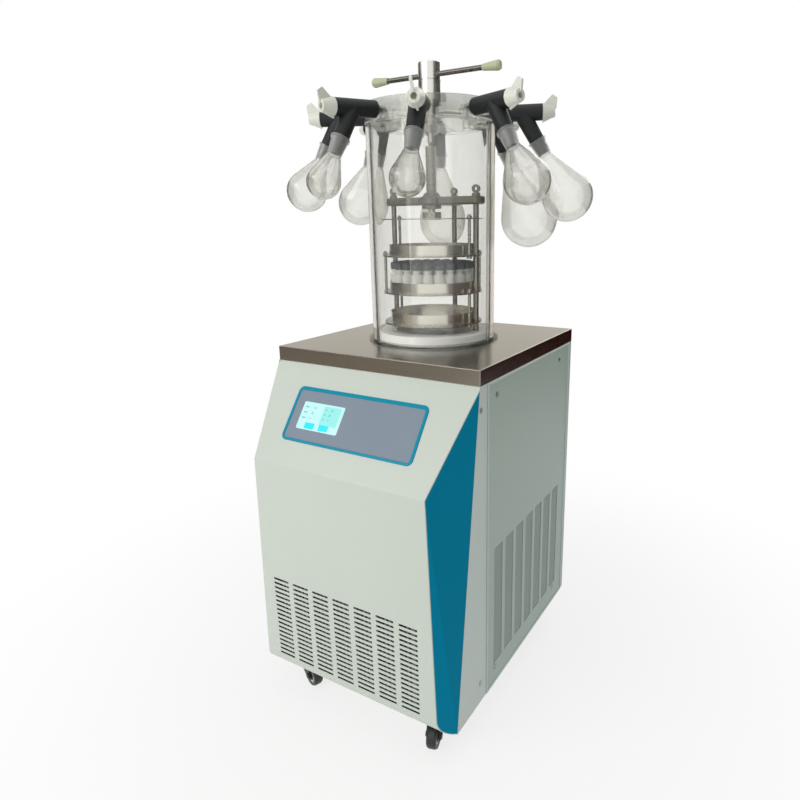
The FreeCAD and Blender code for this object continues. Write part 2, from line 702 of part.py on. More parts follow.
def rear_panel():
    outer = box(-HALF_W, HALF_W, BODY_REAR - REAR_SEAM, BODY_REAR, UNDERSIDE_Z, BODY_TOP)
    inner = box(-HALF_W + SHEET, HALF_W - SHEET, 0, BODY_REAR - SHEET, 0, WORKTOP_Z)
    panel = outer.cut(inner)
    cuts = []
    for column in range(REAR_COLUMNS):
        x = (column - (REAR_COLUMNS - 1) / 2) * SLOT_PITCH_X + REAR_GRILLE_X
        for row in range(REAR_ROWS):
            cuts.append(rear_opening(x, REAR_GRILLE_TOP - row * SLOT_PITCH_Z, SLOT_L, SLOT_H))
    x, z = INLET_AT
    cuts.append(rear_opening(x, z, INLET_BODY[0] + 2 * WINDOW_GAP, INLET_BODY[1] + 2 * WINDOW_GAP))
    for radius, height in ((PORT_OUTER_R, PORT_HEIGHT), (DRAIN_R, DRAIN_HEIGHT)):
        back = BODY_REAR + 5
        cuts.append(rod(radius + PART_GAP, Vector(0, BODY_REAR - 5, height), Vector(0, back, height)))
    return panel.cut(Part.makeCompound(cuts))


def base_pan():
    half = HALF_W - SHEET
    front, rear = TOE_Y, BODY_REAR - SHEET
    pan = box(-half, half, front, rear, UNDERSIDE_Z, UNDERSIDE_Z + PAN_WALL)
    inside = box(-half + PAN_T, half - PAN_T, front + PAN_T, rear - PAN_T, UNDERSIDE_Z + PAN_T, WORKTOP_Z)
    low_front = box(-half, half, front, front + PAN_T, UNDERSIDE_Z + PAN_FRONT_WALL, WORKTOP_Z)
    pieces = [pan.cut(inside).cut(low_front).cut(screw_holes()).cut(dimple_room())]
    for x, y in caster_places().values():
        plate = box(-PLATE_W / 2, PLATE_W / 2, -PLATE_L / 2, PLATE_L / 2, PLATE_LOW, UNDERSIDE_Z)
        plate.translate(Vector(x, y, 0))
        crown_low = CROWN_TOP - CROWN_T
        head_low = crown_low - KINGPIN_HEAD_DROP
        pin = disc(KINGPIN_R, head_low, UNDERSIDE_Z, x, y)
        head = disc(KINGPIN_HEAD_R, head_low, crown_low - PART_GAP, x, y)
        pieces += [plate, pin, head]
    return fused(*pieces)


def worktop():
    outer = box(-HALF_W, HALF_W, FRONT_Y, REAR_Y, BODY_TOP, WORKTOP_Z)
    outer = outer.makeFillet(WORKTOP_BEND, [e for e in outer.Edges if e.BoundBox.ZMax > WORKTOP_Z - 0.1])
    t = WORKTOP_SHEET
    inner = box(-HALF_W + t, HALF_W - t, FRONT_Y + t, REAR_Y - t, BODY_TOP, WORKTOP_Z - t)
    return outer.cut(inner).cut(disc(TRAP_R, BODY_TOP, WORKTOP_Z))


def frame():
    """Welded frame: a deep ring under the worktop, four corner posts and the deck of the cold trap."""
    t = WORKTOP_SHEET
    top = WORKTOP_Z - t
    half = HALF_W - t
    front, rear = FRONT_Y + t, REAR_Y - t
    low = top - RING_DEPTH
    shell = box(-half, half, front, rear, low, top)
    core = box(-half + ANGLE_T, half - ANGLE_T, front + ANGLE_T, rear - ANGLE_T, low, top - ANGLE_T)
    hole = box(-half + ANGLE, half - ANGLE, front + ANGLE, rear - ANGLE, low, top)
    skirt_low = BODY_TOP + PART_GAP
    front_strip = box(-HALF_W, HALF_W, front, front + ANGLE_T, low, skirt_low)
    rear_strip = box(-HALF_W, HALF_W, BODY_REAR - SHEET, rear, low, skirt_low)
    side_rings = shell.cut(core).cut(hole).cut(front_strip).cut(rear_strip)
    floor = UNDERSIDE_Z + PAN_T
    front_end = STRIP_SEAM_Y - SHEET - 2 * PART_GAP
    posts = []
    front_post = (POST_FRONT, front_end, POST_FRONT)
    rear_post = (POST_REAR - ANGLE, POST_REAR, POST_REAR - ANGLE_T)
    for y0, y1, web_y in (front_post, rear_post):
        leg = box(POST_OUTER - ANGLE_T, POST_OUTER, y0, y1, floor, top - ANGLE_T)
        web = box(POST_OUTER - ANGLE, POST_OUTER, web_y, web_y + ANGLE_T, floor, top - ANGLE_T)
        posts += [leg, web, mirrored(leg), mirrored(web)]
    inset = SHEET + PART_GAP
    deck_high = DECK_Z + DECK_T
    slab = box(-HALF_W, HALF_W, NOSE_Y, BODY_REAR - inset, DECK_Z, deck_high)
    deck = cabinet_block(inset, inset).common(slab)
    seam_low, seam_high = STRIP_SEAM_Y - 2 * inset, STRIP_SEAM_Y + 2 * inset
    notch = box(HALF_W - FLANGE - PART_GAP, HALF_W, seam_low, seam_high, DECK_Z, deck_high)
    deck = deck.cut(notch).cut(mirrored(notch))
    return fused(side_rings, deck, *posts).cut(screw_holes()).cut(dimple_room())


def panel_screws():
    screws = []
    for place in side_screws():
        head = rod(SCREW_HEAD_R, place, place + Vector(SCREW_HEAD_T, 0, 0))
        shank = rod(SCREW_R, place - Vector(SCREW_L, 0, 0), place + Vector(SCREW_HEAD_T / 2, 0, 0))
        screw = fused(head, shank)
        screws += [screw, mirrored(screw)]
    return screws


# ===============================================================================================
# Control panel


def display_bezel():
    plate = rounded_plate(BEZEL_W, BEZEL_H, BEZEL_R, 0, BEZEL_T, 0, -BEZEL_DOWN)
    return slope_placed(plate.cut(window(-1, BEZEL_T + 1)))


def touch_screen():
    w, h, rim = SCREEN_W, SCREEN_H, 2 * SCREEN_RIM
    x, y = SCREEN_X, -SCREEN_DOWN
    front = rounded_plate(w, h, WINDOW_R - WINDOW_GAP, -SCREEN_DEPTH, BEZEL_T - PART_GAP, x, y)
    back = rounded_plate(w + rim, h + rim, WINDOW_R, -SCREEN_DEPTH, -SHEET, x, y)
    return slope_placed(fused(front, back))


def control_box():
    half, front, back = CASE_W / 2, FRONT_Y - CASE_OUT, FRONT_Y + CASE_BACK
    low = DECK_Z + DECK_T
    high = low + CASE_H
    case = box(-half, half, front, back, low, high)
    lip = CASE_LIP
    return fused(case, box(-half - lip, half + lip, front - lip, back + lip, high, high + lip))


# ===============================================================================================
# Cold trap and vacuum

TRAP_TOP = WORKTOP_Z - WORKTOP_SHEET
TRAP_FLOOR = TRAP_TOP - TRAP_DEPTH


def cold_trap():
    outer = TRAP_R + TRAP_WALL
    jacket_low = TRAP_FLOOR + JACKET_LOW
    jacket_high = TRAP_TOP - JACKET_HIGH
    profile = [
        (0, TRAP_FLOOR - TRAP_WALL),
        (outer, TRAP_FLOOR - TRAP_WALL),
        (outer, jacket_low),
        (JACKET_R, jacket_low + JACKET_R - outer),
        (JACKET_R, jacket_high - JACKET_R + outer),
        (outer, jacket_high),
        (outer, TRAP_TOP - TRAP_FLANGE_T),
        (TRAP_FLANGE_R, TRAP_TOP - TRAP_FLANGE_T),
        (TRAP_FLANGE_R, TRAP_TOP),
        (TRAP_R, TRAP_TOP),
        (TRAP_R, TRAP_FLOOR),
        (0, TRAP_FLOOR),
    ]
    pot = spun(profile)
    spigot = disc(DRAIN_R, DRAIN_HEIGHT + DRAIN_R + PART_GAP, TRAP_FLOOR)
    pot = fused(pot, spigot)
    pot = pot.cut(disc(DRAIN_BORE_R, DRAIN_HEIGHT, TRAP_FLOOR + 1))
    centre = Vector(0, 0, PORT_HEIGHT)
    return pot.cut(rod(PORT_BORE_R, centre, centre + Vector(0, TRAP_FLANGE_R, 0)))


def trap_insulation():
    gap = PART_GAP
    low = DECK_Z + DECK_T
    foam = disc(FOAM_R, low, TRAP_TOP - TRAP_FLANGE_T - gap)
    bore = disc(JACKET_R + gap, TRAP_FLOOR - TRAP_WALL, TRAP_TOP)
    spigot = disc(DRAIN_R + gap, DRAIN_HEIGHT - DRAIN_R, TRAP_FLOOR)
    drain = rod(DRAIN_R + gap, Vector(0, -DRAIN_R - gap, DRAIN_HEIGHT), Vector(0, FOAM_R + 1, DRAIN_HEIGHT))
    port = rod(PORT_OUTER_R + gap, Vector(0, 0, PORT_HEIGHT), Vector(0, FOAM_R + 1, PORT_HEIGHT))
    return foam.cut(bore).cut(spigot).cut(drain).cut(port)


def vacuum_port():
    """Straight tube from the trap's wall to a small clamp flange behind the cabinet."""
    start = TRAP_R + TRAP_WALL + PART_GAP
    end = BODY_REAR + PORT_REACH
    tube = rod(PORT_OUTER_R, Vector(0, start, PORT_HEIGHT), Vector(0, end, PORT_HEIGHT))
    flange = rod(PORT_FLANGE_R, Vector(0, end - PORT_FLANGE_T, PORT_HEIGHT), Vector(0, end, PORT_HEIGHT))
    thick = Vector(0, PORT_STOP_T, 0)
    slope_start = Vector(0, end - PORT_FLANGE_T, PORT_HEIGHT) - thick
    slope = cone(slope_start, PORT_OUTER_R, slope_start + thick, PORT_FLANGE_R)
    seat = Vector(0, BODY_REAR, PORT_HEIGHT)
    stop = rod(PORT_FLANGE_R, seat, seat + thick)
    bore = rod(PORT_BORE_R, Vector(0, 0, PORT_HEIGHT), Vector(0, end + 1, PORT_HEIGHT))
    return fused(tube, flange, slope, stop).cut(bore)


BALL_Y = BODY_REAR + BALL_BODY_OUT
LEVER_Z = DRAIN_HEIGHT + LEVER_RISE


def drain_valve():
    """Pipe from under the trap, ball valve body behind the cabinet and a hose barb at its end."""
    z = DRAIN_HEIGHT
    end = BODY_REAR + DRAIN_REACH
    front = BALL_Y - BALL_BODY_L / 2
    pipe = rod(DRAIN_R, Vector(0, -DRAIN_R, z), Vector(0, end, z))
    hexagon = []
    for k in range(6):
        corner = on_circle(BALL_BODY_R, 60 * k, 0)
        hexagon.append(Vector(corner.x, front, z + corner.y))
    body = prism(hexagon, Vector(0, BALL_BODY_L, 0))
    neck = disc(STEM_COLLAR_R, z, LEVER_Z - LEVER_DROP - PART_GAP, 0, BALL_Y)
    stop = rod(DRAIN_STOP_R, Vector(0, BODY_REAR, z), Vector(0, front, z))
    ridges = []
    for n in range(BARB_COUNT):
        low = Vector(0, end - BARB_PITCH * (n + 1), z)
        ridges.append(cone(low, BARB_R, low + Vector(0, BARB_L, 0), BARB_ROOT_R))
    valve = fused(pipe, body, neck, stop, *ridges)
    valve = valve.cut(rod(DRAIN_BORE_R, Vector(0, DRAIN_BORE_R - DRAIN_R, z), Vector(0, end + 1, z)))
    valve = valve.cut(disc(DRAIN_BORE_R, z, z + 2 * DRAIN_R))
    return valve.cut(disc(STEM_R + RUN_GAP, z + STEM_SEAT, LEVER_Z, 0, BALL_Y))


def drain_lever():
    low = LEVER_Z - LEVER_DROP
    high = low + LEVER_T
    stem = disc(STEM_R, DRAIN_HEIGHT + STEM_SEAT + PART_GAP, high, 0, BALL_Y)
    boss = disc(LEVER_BOSS_R, low, high + 1, 0, BALL_Y)
    blade = box(-LEVER_W / 2, LEVER_W / 2, BALL_Y, BALL_Y + LEVER_L, low, high)
    tip = disc(LEVER_W / 2, low, high, 0, BALL_Y + LEVER_L)
    return fused(stem, boss, blade, tip)


# ===============================================================================================
# Refrigeration


def compressor():
    x, y = COMPRESSOR_AT
    low = UNDERSIDE_Z + PAN_T
    shell_low = low + COMPRESSOR_FOOT_H
    shell_high = low + COMPRESSOR_H
    r = COMPRESSOR_R
    seam = shell_low + (shell_high - shell_low) * SEAM_AT
    profile = [(0, shell_low)]
    profile += [(r - inset, shell_low + rise) for inset, rise in COMPRESSOR_BOWL]
    profile += [(r, seam), (r + SEAM_OUT, seam), (r + SEAM_OUT, seam + SEAM_T), (r, seam + SEAM_T)]
    profile += [(r - inset, shell_high - drop) for inset, drop in COMPRESSOR_DOME]
    profile.append((0, shell_high))
    shell = spun(profile)
    w, d, t = SADDLE
    saddle_low = low + SADDLE_RISE
    saddle = box(-w / 2, w / 2, -d / 2, d / 2, saddle_low, saddle_low + t)
    column = disc(SADDLE_COLUMN_R, saddle_low, shell_low + t)
    mounts = []
    for i in (-1, 1):
        for j in (-1, 1):
            mounts.append(disc(MOUNT_R, low, saddle_low, i * MOUNT_SPREAD[0], j * MOUNT_SPREAD[1]))
    half = TERMINAL_W / 2
    bottom, top = TERMINAL_Z
    box_front, box_back = -r - TERMINAL_OUT, -r + TERMINAL_IN
    terminal = box(-half, half, box_front, box_back, shell_low + bottom, shell_low + top)
    return fused(shell, saddle, column, terminal, *mounts).translated(Vector(x, y, 0))


def condenser_faces():
    """Front and rear of the condenser block, behind the lower front panel."""
    front = TOE_Y - TOE_R + SHEET + CONDENSER_GAP
    return front, front + CONDENSER_T


def condenser():
    front, rear = condenser_faces()
    half = CONDENSER_W / 2
    low, high = CONDENSER_Z
    end = CONDENSER_END_T
    fin_pitch = (CONDENSER_W - 2 * CONDENSER_EDGE) / FIN_COUNT
    outline = [(-half, front)]
    for n in range(FIN_COUNT):
        x = CONDENSER_EDGE - half + n * fin_pitch
        middle = x + fin_pitch / 2
        outline += [(x, front), (x, rear - FIN_BACK), (middle, rear - FIN_BACK), (middle, front)]
    outline += [(half, front), (half, rear), (-half, rear)]
    block = prism([Vector(x, y, low + end) for x, y in outline], Vector(0, 0, high - low - 2 * end))
    bottom = box(-half, half, front, rear, low, low + end)
    top = box(-half, half, front, rear, high - end, high)
    foot_front = TOE_Y + PAN_T + PART_GAP
    foot = box(half - CONDENSER_FOOT_W, half, foot_front, rear, UNDERSIDE_Z + PAN_T, low)
    return fused(block, bottom, top, foot, mirrored(foot))


def fan_at(y):
    return Vector(0, y, FAN_Z)


def fan_cowl():
    rear = condenser_faces()[1]
    half = CONDENSER_W / 2
    low, high = CONDENSER_Z
    plate = box(-half, half, rear, rear + SHEET, low, high)
    duct_end = rear + FAN_DEPTH + COWL_BEHIND
    strap_start = duct_end - STRAP_T
    outer = FAN_R + COWL_LIP + COWL_T
    duct = rod(outer, fan_at(rear), fan_at(duct_end))
    bore = rod(FAN_R + COWL_LIP, fan_at(rear - 1), fan_at(duct_end + 1))
    motor = rod(MOTOR_R, fan_at(strap_start), fan_at(strap_start + MOTOR_L))
    side = STRAP_W / 2
    straps = [
        box(-outer, outer, strap_start, duct_end, FAN_Z - side, FAN_Z + side),
        box(-side, side, strap_start, duct_end, FAN_Z - outer, FAN_Z + outer),
    ]
    shaft_hole = rod(FAN_SHAFT_R + RUN_GAP, fan_at(rear), fan_at(duct_end + FAN_SHAFT_IN))
    return fused(fused(plate, duct).cut(bore), motor, *straps).cut(shaft_hole)


def blade_section(radius, chord_and_pitch, y):
    """A thin rectangle across the blade at one radius, turned to the blade's pitch."""
    chord, pitch = chord_and_pitch
    along = Vector(math.cos(math.radians(pitch)), math.sin(math.radians(pitch)), 0) * (chord / 2)
    across = Vector(-along.y, along.x, 0).normalize() * (BLADE_T / 2)
    centre = Vector(0, y, radius)
    points = [centre + along * a + across * b for a, b in ((-1, -1), (1, -1), (1, 1), (-1, 1))]
    return Part.makePolygon(points + [points[0]])


def fan_rotor():
    rear = condenser_faces()[1]
    start = rear + FAN_CLEAR
    hub = rod(FAN_HUB_R, fan_at(start), fan_at(start + FAN_DEPTH))
    shaft_end = rear + FAN_DEPTH + COWL_BEHIND + FAN_SHAFT_IN - FAN_CLEAR
    shaft = rod(FAN_SHAFT_R, fan_at(start), fan_at(shaft_end))
    middle = start + FAN_DEPTH / 2
    root = blade_section(FAN_HUB_R - BLADE_SUNK, BLADE_ROOT, middle)
    tip = blade_section(FAN_R, BLADE_TIP, middle)
    blade = Part.makeLoft([root, tip], True, True).translated(fan_at(0))
    blades = []
    for n in range(FAN_BLADES):
        blades.append(blade.copy().rotate(fan_at(0), Vector(0, 1, 0), n * 360 / FAN_BLADES))
    return fused(hub, shaft, *blades)


# ===============================================================================================
# Rear electrical inlet with its rocker


INLET_BACK = BODY_REAR + INLET_PLATE[2]
ROCKER_PIN = Vector(INLET_AT[0], INLET_BACK - ROCKER_PIN_DEEP, INLET_AT[1] + ROCKER_RISE)


def rear_block(x, z, width, height, front, back):
    return box(x - width / 2, x + width / 2, front, back, z - height / 2, z + height / 2)


def rocker_pin(radius):
    reach = Vector(ROCKER[0] / 2 + ROCKER_PIN_END, 0, 0)
    return rod(radius, ROCKER_PIN - reach, ROCKER_PIN + reach)


def power_inlet():
    x, z = INLET_AT
    width, height, deep = INLET_BODY
    plate = rear_block(x, z, INLET_PLATE[0], INLET_PLATE[1], BODY_REAR, INLET_BACK)
    module = fused(plate, rear_block(x, z, width, height, BODY_REAR - deep, BODY_REAR + 1))
    width, height, deep = SOCKET
    floor = INLET_BACK - deep
    socket_z = z - SOCKET_DROP
    module = module.cut(rear_block(x, socket_z, width, height, floor, INLET_BACK))
    height, width, length = PIN
    pins = []
    for dx, dz in ((-PIN_SPREAD, -PIN_STEP), (0, PIN_STEP), (PIN_SPREAD, -PIN_STEP)):
        pins.append(rear_block(x + dx, socket_z + dz, width, height, floor - 1, floor + length))
    well_front = INLET_BACK - ROCKER_WELL
    well = rear_block(x, ROCKER_PIN.z, ROCKER[0], ROCKER[1], well_front, INLET_BACK)
    return fused(module.cut(well).cut(rocker_pin(ROCKER_PIN_R + RUN_GAP)), *pins)


def power_switch():
    """Rocker on a cross pin; it is modelled level."""
    half = ROCKER[0] / 2 - ROCKER_GAP
    outline = [ROCKER_PIN + Vector(-half, y, z) for y, z in ROCKER_OUTLINE]
    return fused(prism(outline, Vector(2 * half, 0, 0)), rocker_pin(ROCKER_PIN_R))


# ===============================================================================================
# Casters


def caster_places():
    return {
        "fl": (-CASTER_X, CASTER_FRONT_Y),
        "fr": (CASTER_X, CASTER_FRONT_Y),
        "rl": (-CASTER_X, CASTER_REAR_Y),
        "rr": (CASTER_X, CASTER_REAR_Y),
    }


def caster_placed(shape, corner):
    """A caster is drawn at the origin with its wheel trailing along +X, then turned and moved."""
    x, y = caster_places()[corner]
    return turned(shape, CASTER_YAWS[corner]).translated(Vector(x, y, 0))


def caster_fork(corner):
    low = CROWN_TOP - CROWN_T
    inner = WHEEL_W / 2 + LEG_GAP
    reach = inner + LEG_T
    over, beside = LEG_FOOT
    step, tip = LEG_DROP
    pedal_x, pedal_z = PEDAL_AT
    outline = [
        (CROWN_R * 0.6, low + 1),
        (TRAIL + over, WHEEL_R + LEG_RISE),
        (TRAIL + beside, WHEEL_R - step),
        (TRAIL, WHEEL_R - tip),
        (TRAIL - beside, WHEEL_R - step),
        (pedal_x - 5, pedal_z - 4),
        (-CROWN_R * 0.7, low + 1),
    ]
    pieces = [disc(CROWN_R, low, CROWN_TOP)]
    for side in (-1, 1):
        y = inner if side > 0 else -reach
        pieces.append(prism([Vector(x, y, z) for x, z in outline], Vector(0, LEG_T, 0)))
        cap_start = Vector(TRAIL, side * reach, WHEEL_R)
        pieces.append(rod(AXLE_CAP_R, cap_start, cap_start + Vector(0, side * AXLE_CAP_T, 0)))
    pieces.append(rod(AXLE_R, Vector(TRAIL, -reach, WHEEL_R), Vector(TRAIL, reach, WHEEL_R)))
    fork = fused(*pieces).cut(disc(KINGPIN_R + RUN_GAP, low - 1, CROWN_TOP + 1))
    if corner in BRAKED:
        wide = Vector(0, reach + 1, 0)
        pin = Vector(pedal_x, 0, pedal_z)
        fork = fork.cut(rod(PEDAL_PIN_R + RUN_GAP, pin - wide, pin + wide))
    return caster_placed(fork, corner)


def caster_wheel(corner):
    """Rubber tread and dished hub, spun flat and stood up on the axle."""
    half = WHEEL_W / 2
    side = half - TYRE_INSET
    inwards, along = TYRE_EDGE
    tyre = [(CORE_R, -side), (WHEEL_R - inwards, -side), (WHEEL_R, along - side)]
    tyre += [(WHEEL_R, side - along), (WHEEL_R - inwards, side), (CORE_R, side)]
    bore = AXLE_R + RUN_GAP
    dish, deep = HUB_DISH
    core = [(bore, -half), (CORE_R - dish, -half), (CORE_R - dish + 1, deep - half), (CORE_R, deep - half)]
    core += [(CORE_R, half - deep), (CORE_R - dish + 1, half - deep), (CORE_R - dish, half), (bore, half)]
    pieces = []
    for profile in (tyre, core):
        upright = spun(profile).rotate(Vector(0, 0, 0), Vector(1, 0, 0), 90)
        pieces.append(caster_placed(upright.translated(Vector(TRAIL, 0, WHEEL_R)), corner))
    return pieces


def brake_pedal(corner):
    """Foot tab and brake shoe on one cross pin: pressing the tab swings the shoe to the tyre."""
    x, z = PEDAL_AT
    half = WHEEL_W / 2
    reach = half + LEG_GAP + LEG_T
    outline = [Vector(x + dx, -half, z + dz) for dx, dz in PEDAL_TAB + PEDAL_SHOE]
    lever = prism(outline, Vector(0, WHEEL_W, 0))
    pin = rod(PEDAL_PIN_R, Vector(x, -reach, z), Vector(x, reach, z))
    return caster_placed(fused(lever, pin), corner)


# ===============================================================================================
# Drying chamber


def chamber_seals():
    """The tube stands in a broad clear ring; a thin gasket lies between its rim and the lid."""
    lower = ring(SEAL_R, SEAL_LIP_R, WORKTOP_Z, WORKTOP_Z + SEAL_T)
    upper = ring(TUBE_R, TUBE_INNER, TUBE_TOP, TUBE_TOP + GASKET_T)
    return lower, upper


def base_ring():
    body = ring(BASE_RING_R, BASE_RING_BORE, WORKTOP_Z, WORKTOP_Z + BASE_RING_T)
    rims = [e for e in body.Edges if e.Closed and e.BoundBox.ZMin > WORKTOP_Z + 1]
    outer = [e for e in rims if e.BoundBox.XMax > BASE_RING_R - 1]
    return body.makeChamfer(BASE_RING_CHAMFER, outer)


def support_ring():
    low = WORKTOP_Z + BASE_RING_T
    return ring(SUPPORT_R, SUPPORT_R - SUPPORT_WALL, low, low + SUPPORT_H - PART_GAP)


def chamber_lid():
    c = LID_CHAMFER
    profile = [(0, LID_Z), (LID_R - c, LID_Z), (LID_R, LID_Z + c)]
    profile += [(LID_R, LID_TOP - c), (LID_R - c, LID_TOP), (0, LID_TOP)]
    lid = spun(profile).cut(disc(LID_BORE_R, LID_Z, LID_TOP))
    ports = []
    for n in range(len(VALVES)):
        azimuth = VALVE_FIRST + n * VALVE_STEP
        bend = on_circle(LID_PORT_DEEP, azimuth, PORT_Z)
        ports.append(rod(LID_PORT_R, bend, on_circle(LID_R + 1, azimuth, PORT_Z)))
        ports.append(rod(LID_PORT_R, on_circle(LID_PORT_DEEP, azimuth, LID_Z - 1), bend))
    return lid.cut(Part.makeCompound(ports))


def gland():
    """Shaft seal: a housing on the lid with a threaded stem, and the nut that clamps it from below."""
    stem_r = LID_BORE_R - SLIP_GAP
    housing = fused(
        disc(GLAND_R, LID_TOP, LID_TOP + GLAND_H - 2),
        disc(GLAND_R - 2, LID_TOP + GLAND_H - 2, LID_TOP + GLAND_H),
        disc(stem_r, LID_Z - GLAND_NUT_T, LID_TOP),
    )
    bore = disc(ROD_R + RUN_GAP, LID_Z - GLAND_NUT_T - 1, LID_TOP + GLAND_H + 1)
    hexagon = [on_circle(GLAND_NUT_R, 60 * k, LID_Z - GLAND_NUT_T) for k in range(6)]
    nut = prism(hexagon, Vector(0, 0, GLAND_NUT_T)).cut(disc(stem_r + SLIP_GAP / 2, 0, LID_TOP))
    return housing.cut(bore), nut


# ===============================================================================================
# Handle


def hexagon_bar(across, z0, z1):
    corner = across / math.sqrt(3)
    return prism([on_circle(corner, 60 * k, z0) for k in range(6)], Vector(0, 0, z1 - z0))


def handle_hub():
    """Hub, drive rod and the hexagon that slides in the press screw, with the retainer that holds it in."""
    c = HUB_CHAMFER
    high = HUB_Z + HUB_H
    hub = spun([(0, HUB_Z), (HUB_R, HUB_Z), (HUB_R, high - c), (HUB_R - c, high), (0, high)])
    drive = disc(ROD_R, ROD_ROUND_LOW, HUB_Z + 1)
    key = hexagon_bar(ROD_HEX, ROD_LOW, ROD_ROUND_LOW + 1)
    retainer = disc(RETAINER_R, RETAINER_Z - RETAINER_T, RETAINER_Z)
    cross = rod(BAR_R + RUN_GAP, Vector(-HUB_R - 1, 0, BAR_Z), Vector(HUB_R + 1, 0, BAR_Z))
    return fused(hub, drive, key, retainer).cut(cross)


def tee_bar():
    left, right = BAR_ENDS
    return rod(BAR_R, Vector(left + BAR_CAP_FLOOR, 0, BAR_Z), Vector(right - BAR_CAP_FLOOR, 0, BAR_Z))


def bar_caps():
    caps = []
    for end, way in zip(BAR_ENDS, (-1, 1)):
        tip = Vector(end, 0, BAR_Z)
        wide = tip - Vector(way * BAR_CAP_END, 0, 0)
        root = tip - Vector(way * BAR_CAP_L, 0, 0)
        cap = fused(
            cone(root, BAR_CAP_SMALL_R, wide, BAR_CAP_LARGE_R),
            cone(wide, BAR_CAP_LARGE_R, tip, BAR_CAP_TIP_R),
        )
        floor = tip - Vector(way * BAR_CAP_FLOOR, 0, 0)
        socket = rod(BAR_R + SLIP_GAP, root - Vector(way, 0, 0), floor)
        caps.append(cap.cut(socket))
    return caps


# ===============================================================================================
# Stoppering rack


def guide_posts():
    solids = []
    for azimuth in POST_AZIMUTHS:
        foot = on_circle(POST_CIRCLE, azimuth, 0)
        stud_top = BRIDGE_TOP + EYE_T - 1
        post = fused(disc(POST_R, POST_LOW, BRIDGE_Z), disc(POST_STUD_R, BRIDGE_Z, stud_top))
        nut = disc(EYE_R, BRIDGE_TOP, BRIDGE_TOP + EYE_T)
        nut = nut.cut(disc(POST_STUD_R + SLIP_GAP, BRIDGE_TOP, stud_top + PART_GAP))
        centre = Vector(0, 0, BRIDGE_TOP + EYE_RISE)
        half = Vector(0, EYE_T / 2, 0)
        eye = rod(EYE_R, centre - half, centre + half).cut(rod(EYE_HOLE_R, centre - half, centre + half))
        solids += [post.translated(foot), fused(nut, eye).translated(foot)]
    return solids


def bridge_plate():
    """Three round-ended arms over the posts, with the threaded nut of the press screw in the middle."""
    half = BRIDGE_ARM_W / 2
    arms = []
    for azimuth in POST_AZIMUTHS:
        post = on_circle(POST_CIRCLE, azimuth, 0)
        bar = box(0, POST_CIRCLE, -half, half, BRIDGE_Z, BRIDGE_TOP)
        arms += [turned(bar, azimuth), disc(half, BRIDGE_Z, BRIDGE_TOP, post.x, post.y)]
    arms.append(disc(BRIDGE_HUB_R, BRIDGE_Z, BRIDGE_TOP))
    plate = fused(*arms)
    flat = [e for e in plate.Edges if e.BoundBox.ZLength < 1e-6]
    plate = plate.makeFillet(BRIDGE_ROUND, flat)
    low, high = BRIDGE_Z - NUT_DROP, BRIDGE_TOP + NUT_RISE
    nut = spun([(0, low), (NUT_R, low), (NUT_R, BRIDGE_TOP), (SCREW_THREAD_R + 3, high), (0, high)])
    plate = fused(plate, nut).cut(disc(SCREW_THREAD_R + RUN_GAP, low - 1, high + 1))
    for azimuth in POST_AZIMUTHS:
        post = on_circle(POST_CIRCLE, azimuth, 0)
        plate = plate.cut(disc(POST_STUD_R + SLIP_GAP, BRIDGE_Z, BRIDGE_TOP, post.x, post.y))
    return plate


def press_screw():
    pad_low, pad_high = PAD_Z
    foot_low = pad_low + PAD_FLOOR + PART_GAP
    thread_low = BRIDGE_Z - NUT_DROP + 0.5
    profile = [
        (0, foot_low),
        (SCREW_FOOT_R, foot_low),
        (SCREW_FOOT_R, foot_low + SCREW_FOOT_T),
        (SCREW_NECK_R, foot_low + SCREW_FOOT_T),
        (SCREW_NECK_R, thread_low),
        (SCREW_THREAD_R, thread_low + 2),
        (SCREW_THREAD_R, SCREW_TOP - 1),
        (SCREW_THREAD_R - 1, SCREW_TOP),
        (0, SCREW_TOP),
    ]
    socket = hexagon_bar(ROD_HEX + 2 * HEX_GAP, ROD_LOW - 12, SCREW_TOP + 1)
    return spun(profile).cut(socket)


def post_slots(radius, z0, z1):
    """Open slots that let a round plate pass the three posts."""
    slots = []
    width = POST_R + POST_SLOT_GAP
    for azimuth in POST_AZIMUTHS:
        slot = box(POST_CIRCLE, radius + 5, -width, width, z0, z1)
        post = on_circle(POST_CIRCLE, azimuth, 0)
        slots.append(turned(slot, azimuth))
        slots.append(disc(width, z0, z1, post.x, post.y))
    return Part.makeCompound(slots)


def hanger_holes(azimuths, z0, z1):
    holes = []
    for azimuth in azimuths:
        place = on_circle(HANGER_CIRCLE, azimuth, 0)
        holes.append(disc(HANGER_R + SLIP_GAP, z0, z1, place.x, place.y))
    return Part.makeCompound(holes)


def stopper_plate():
    low = STOPPER_PLATE_Z
    high = low + STOPPER_PLATE_T
    pad_low, pad_high = PAD_Z
    plate = disc(STOPPER_PLATE_R, low, high)
    plate = plate.cut(post_slots(STOPPER_PLATE_R, low, high)).cut(hanger_holes(OUTER_HANGERS, low, high))
    pad = disc(PAD_R, pad_low, pad_high)
    gap = RUN_GAP
    foot_low = pad_low + PAD_FLOOR
    foot_high = foot_low + SCREW_FOOT_T + 2 * PART_GAP
    pocket = spun([
        (0, foot_low),
        (SCREW_FOOT_R + gap, foot_low),
        (SCREW_FOOT_R + gap, foot_high),
        (SCREW_NECK_R + gap, foot_high),
        (SCREW_NECK_R + gap, pad_high),
        (0, pad_high),
    ])
    return fused(plate, pad).cut(pocket)


